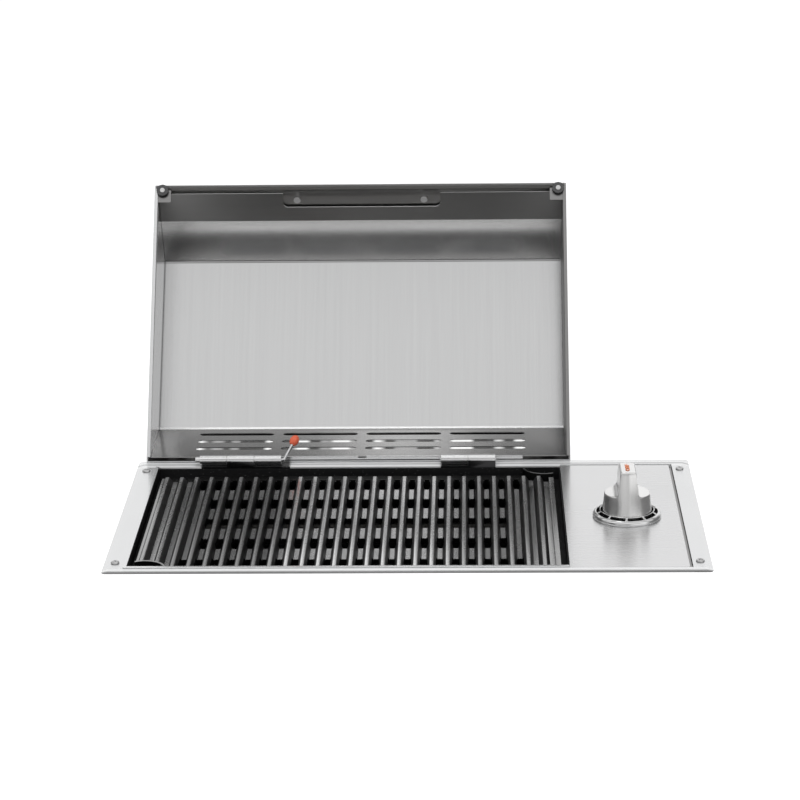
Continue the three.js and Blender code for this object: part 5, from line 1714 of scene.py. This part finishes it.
    def _mirrored(self, sheet: NodeSheet) -> Socket:
        """Studio that metal mirrors: walls round the horizon below a vault from front to back.

        Args:
            sheet: sheet of the world.

        Returns:
            Its brightness.
        """
        looked = sheet.add("TexCoord").outputs["Generated"]
        x, y, z = sheet.add("SeparateXYZ", Vector=looked).outputs
        front = sheet.maths("MULTIPLY", y, -1.0)
        round_turn = sheet.maths("DIVIDE", sheet.maths("ARCTAN2", x, front), math.tau)
        walls = sheet.ramp(sheet.maths("ADD", round_turn, 0.5),
                           [(angle / 360 + 0.5, level) for angle, level in self.walls])
        over_turn = sheet.maths("DIVIDE", sheet.maths("ARCTAN2", z, front), math.pi)
        vault = sheet.ramp(over_turn, [(angle / 180, level) for angle, level in self.vault])
        rise = sheet.add("MapRange", interpolation_type="SMOOTHSTEP", From_Min=self.join[0],
                         From_Max=self.join[1], Value=z)
        return sheet.tint(rise.outputs[0], walls, vault)

    def _pale(self) -> bpy.types.Material:
        """Pale surface that the camera sees as white except in shadow.

        Returns:
            The material.
        """
        made = bpy.data.materials.new("Pale floor")
        sheet = NodeSheet.blank(made)
        path = sheet.add("LightPath").outputs
        glossy = path["Is Glossy Ray"]
        seen = sheet.maths("MAXIMUM", path["Is Camera Ray"],
                           sheet.maths("MAXIMUM", path["Is Transmission Ray"],
                                       sheet.maths("MULTIPLY", glossy, self.mirrored_floor)))
        beyond = sheet.maths("GREATER_THAN", sheet.along("X"), self.beyond)
        loss = sheet.maths("MULTIPLY", glossy, sheet.spread(beyond, *self.darker))
        paper = sheet.add("BsdfDiffuse", Color=sheet.maths("SUBTRACT", self.paper, loss))
        lift = sheet.add("Emission", Color=WHITE,
                         Strength=sheet.maths("MULTIPLY", seen, self.glow))
        both = sheet.add("AddShader")
        for target, source in zip(both.inputs, (paper, lift)):
            sheet.put(target, source.outputs[0])
        sheet.add("OutputMaterial", Surface=both.outputs[0])
        return made

    def _ground(self) -> None:
        """Floor below the housing, and the worktop round it, cut out for the grill."""
        pale = self._pale()
        low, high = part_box("housing")
        shape = bmesh.new()
        bmesh.ops.create_grid(shape, x_segments=1, y_segments=1, size=self.floor)
        self._stage("floor", shape, pale)
        left, right, front, back = self.worktop
        beside, behind = self.gap
        xs = (left, low.x - beside, high.x + beside, right)
        ys = (front, low.y - beside, high.y + behind, back)
        top = Shape.grid(3, 3, lambda column, row: Vector((xs[column], ys[row],
                                                           DECK - self.sunk)))
        middle = [face for face in top.faces
                  if xs[1] < face.calc_center_median().x < xs[2]
                  and ys[1] < face.calc_center_median().y < ys[2]]
        bmesh.ops.delete(top, geom=middle, context="FACES")
        self._stage("worktop", top, pale)

    @staticmethod
    def _stage(name: str, shape: BMesh, finish: bpy.types.Material) -> None:
        """Adds a stage piece.

        Args:
            name: name of the object.
            shape: its bmesh, freed here.
            finish: its material.
        """
        mesh = bpy.data.meshes.new(name)
        shape.to_mesh(mesh)
        shape.free()
        mesh.materials.append(finish)
        linked(name, mesh)

    def _lights(self) -> None:
        """Large soft lamps for matt surfaces, and a strip box that only metal mirrors."""
        for name, place, aim, size, power in self.lamps:
            self._lamp(name, place, aim, (size, size), power).visible_glossy = False
        wide, deep = self.strip
        box = self._lamp("Strip box", self.strip_place, (*self.strip_place[:2], 0.0), self.strip,
                         self.strip_level * math.pi * wide * deep)
        box.visible_diffuse = box.visible_camera = False

    @staticmethod
    def _lamp(name: str, place: Point, aim: Point, size: Pair, power: float) -> bpy.types.Object:
        """Adds an area lamp.

        Args:
            name: name of the lamp.
            place: where it stands, in metres.
            aim: what it points at.
            size: width and depth of the lamp in metres.
            power: power in watts.

        Returns:
            The lamp.
        """
        light = bpy.data.lights.new(name, "AREA")
        light.shape = "RECTANGLE"
        light.size, light.size_y = size
        light.energy = power
        made = linked(name, light)
        made.location = place
        made.rotation_euler = (Vector(aim) - Vector(place)).to_track_quat("-Z", "Y").to_euler()
        return made


def main() -> None:
    """Builds the studio and then the grill from the housing up."""
    logging.basicConfig(level=logging.INFO, format="%(name)s: %(message)s", force=True)
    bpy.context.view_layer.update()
    for part in (Studio(), TrimFrame(), CookingWell(), GrillPlate(), ControlPanel(),
                 ControlKnob(), Lid(), Hinges()):
        part.build()


if __name__ == "__main__":
    main()
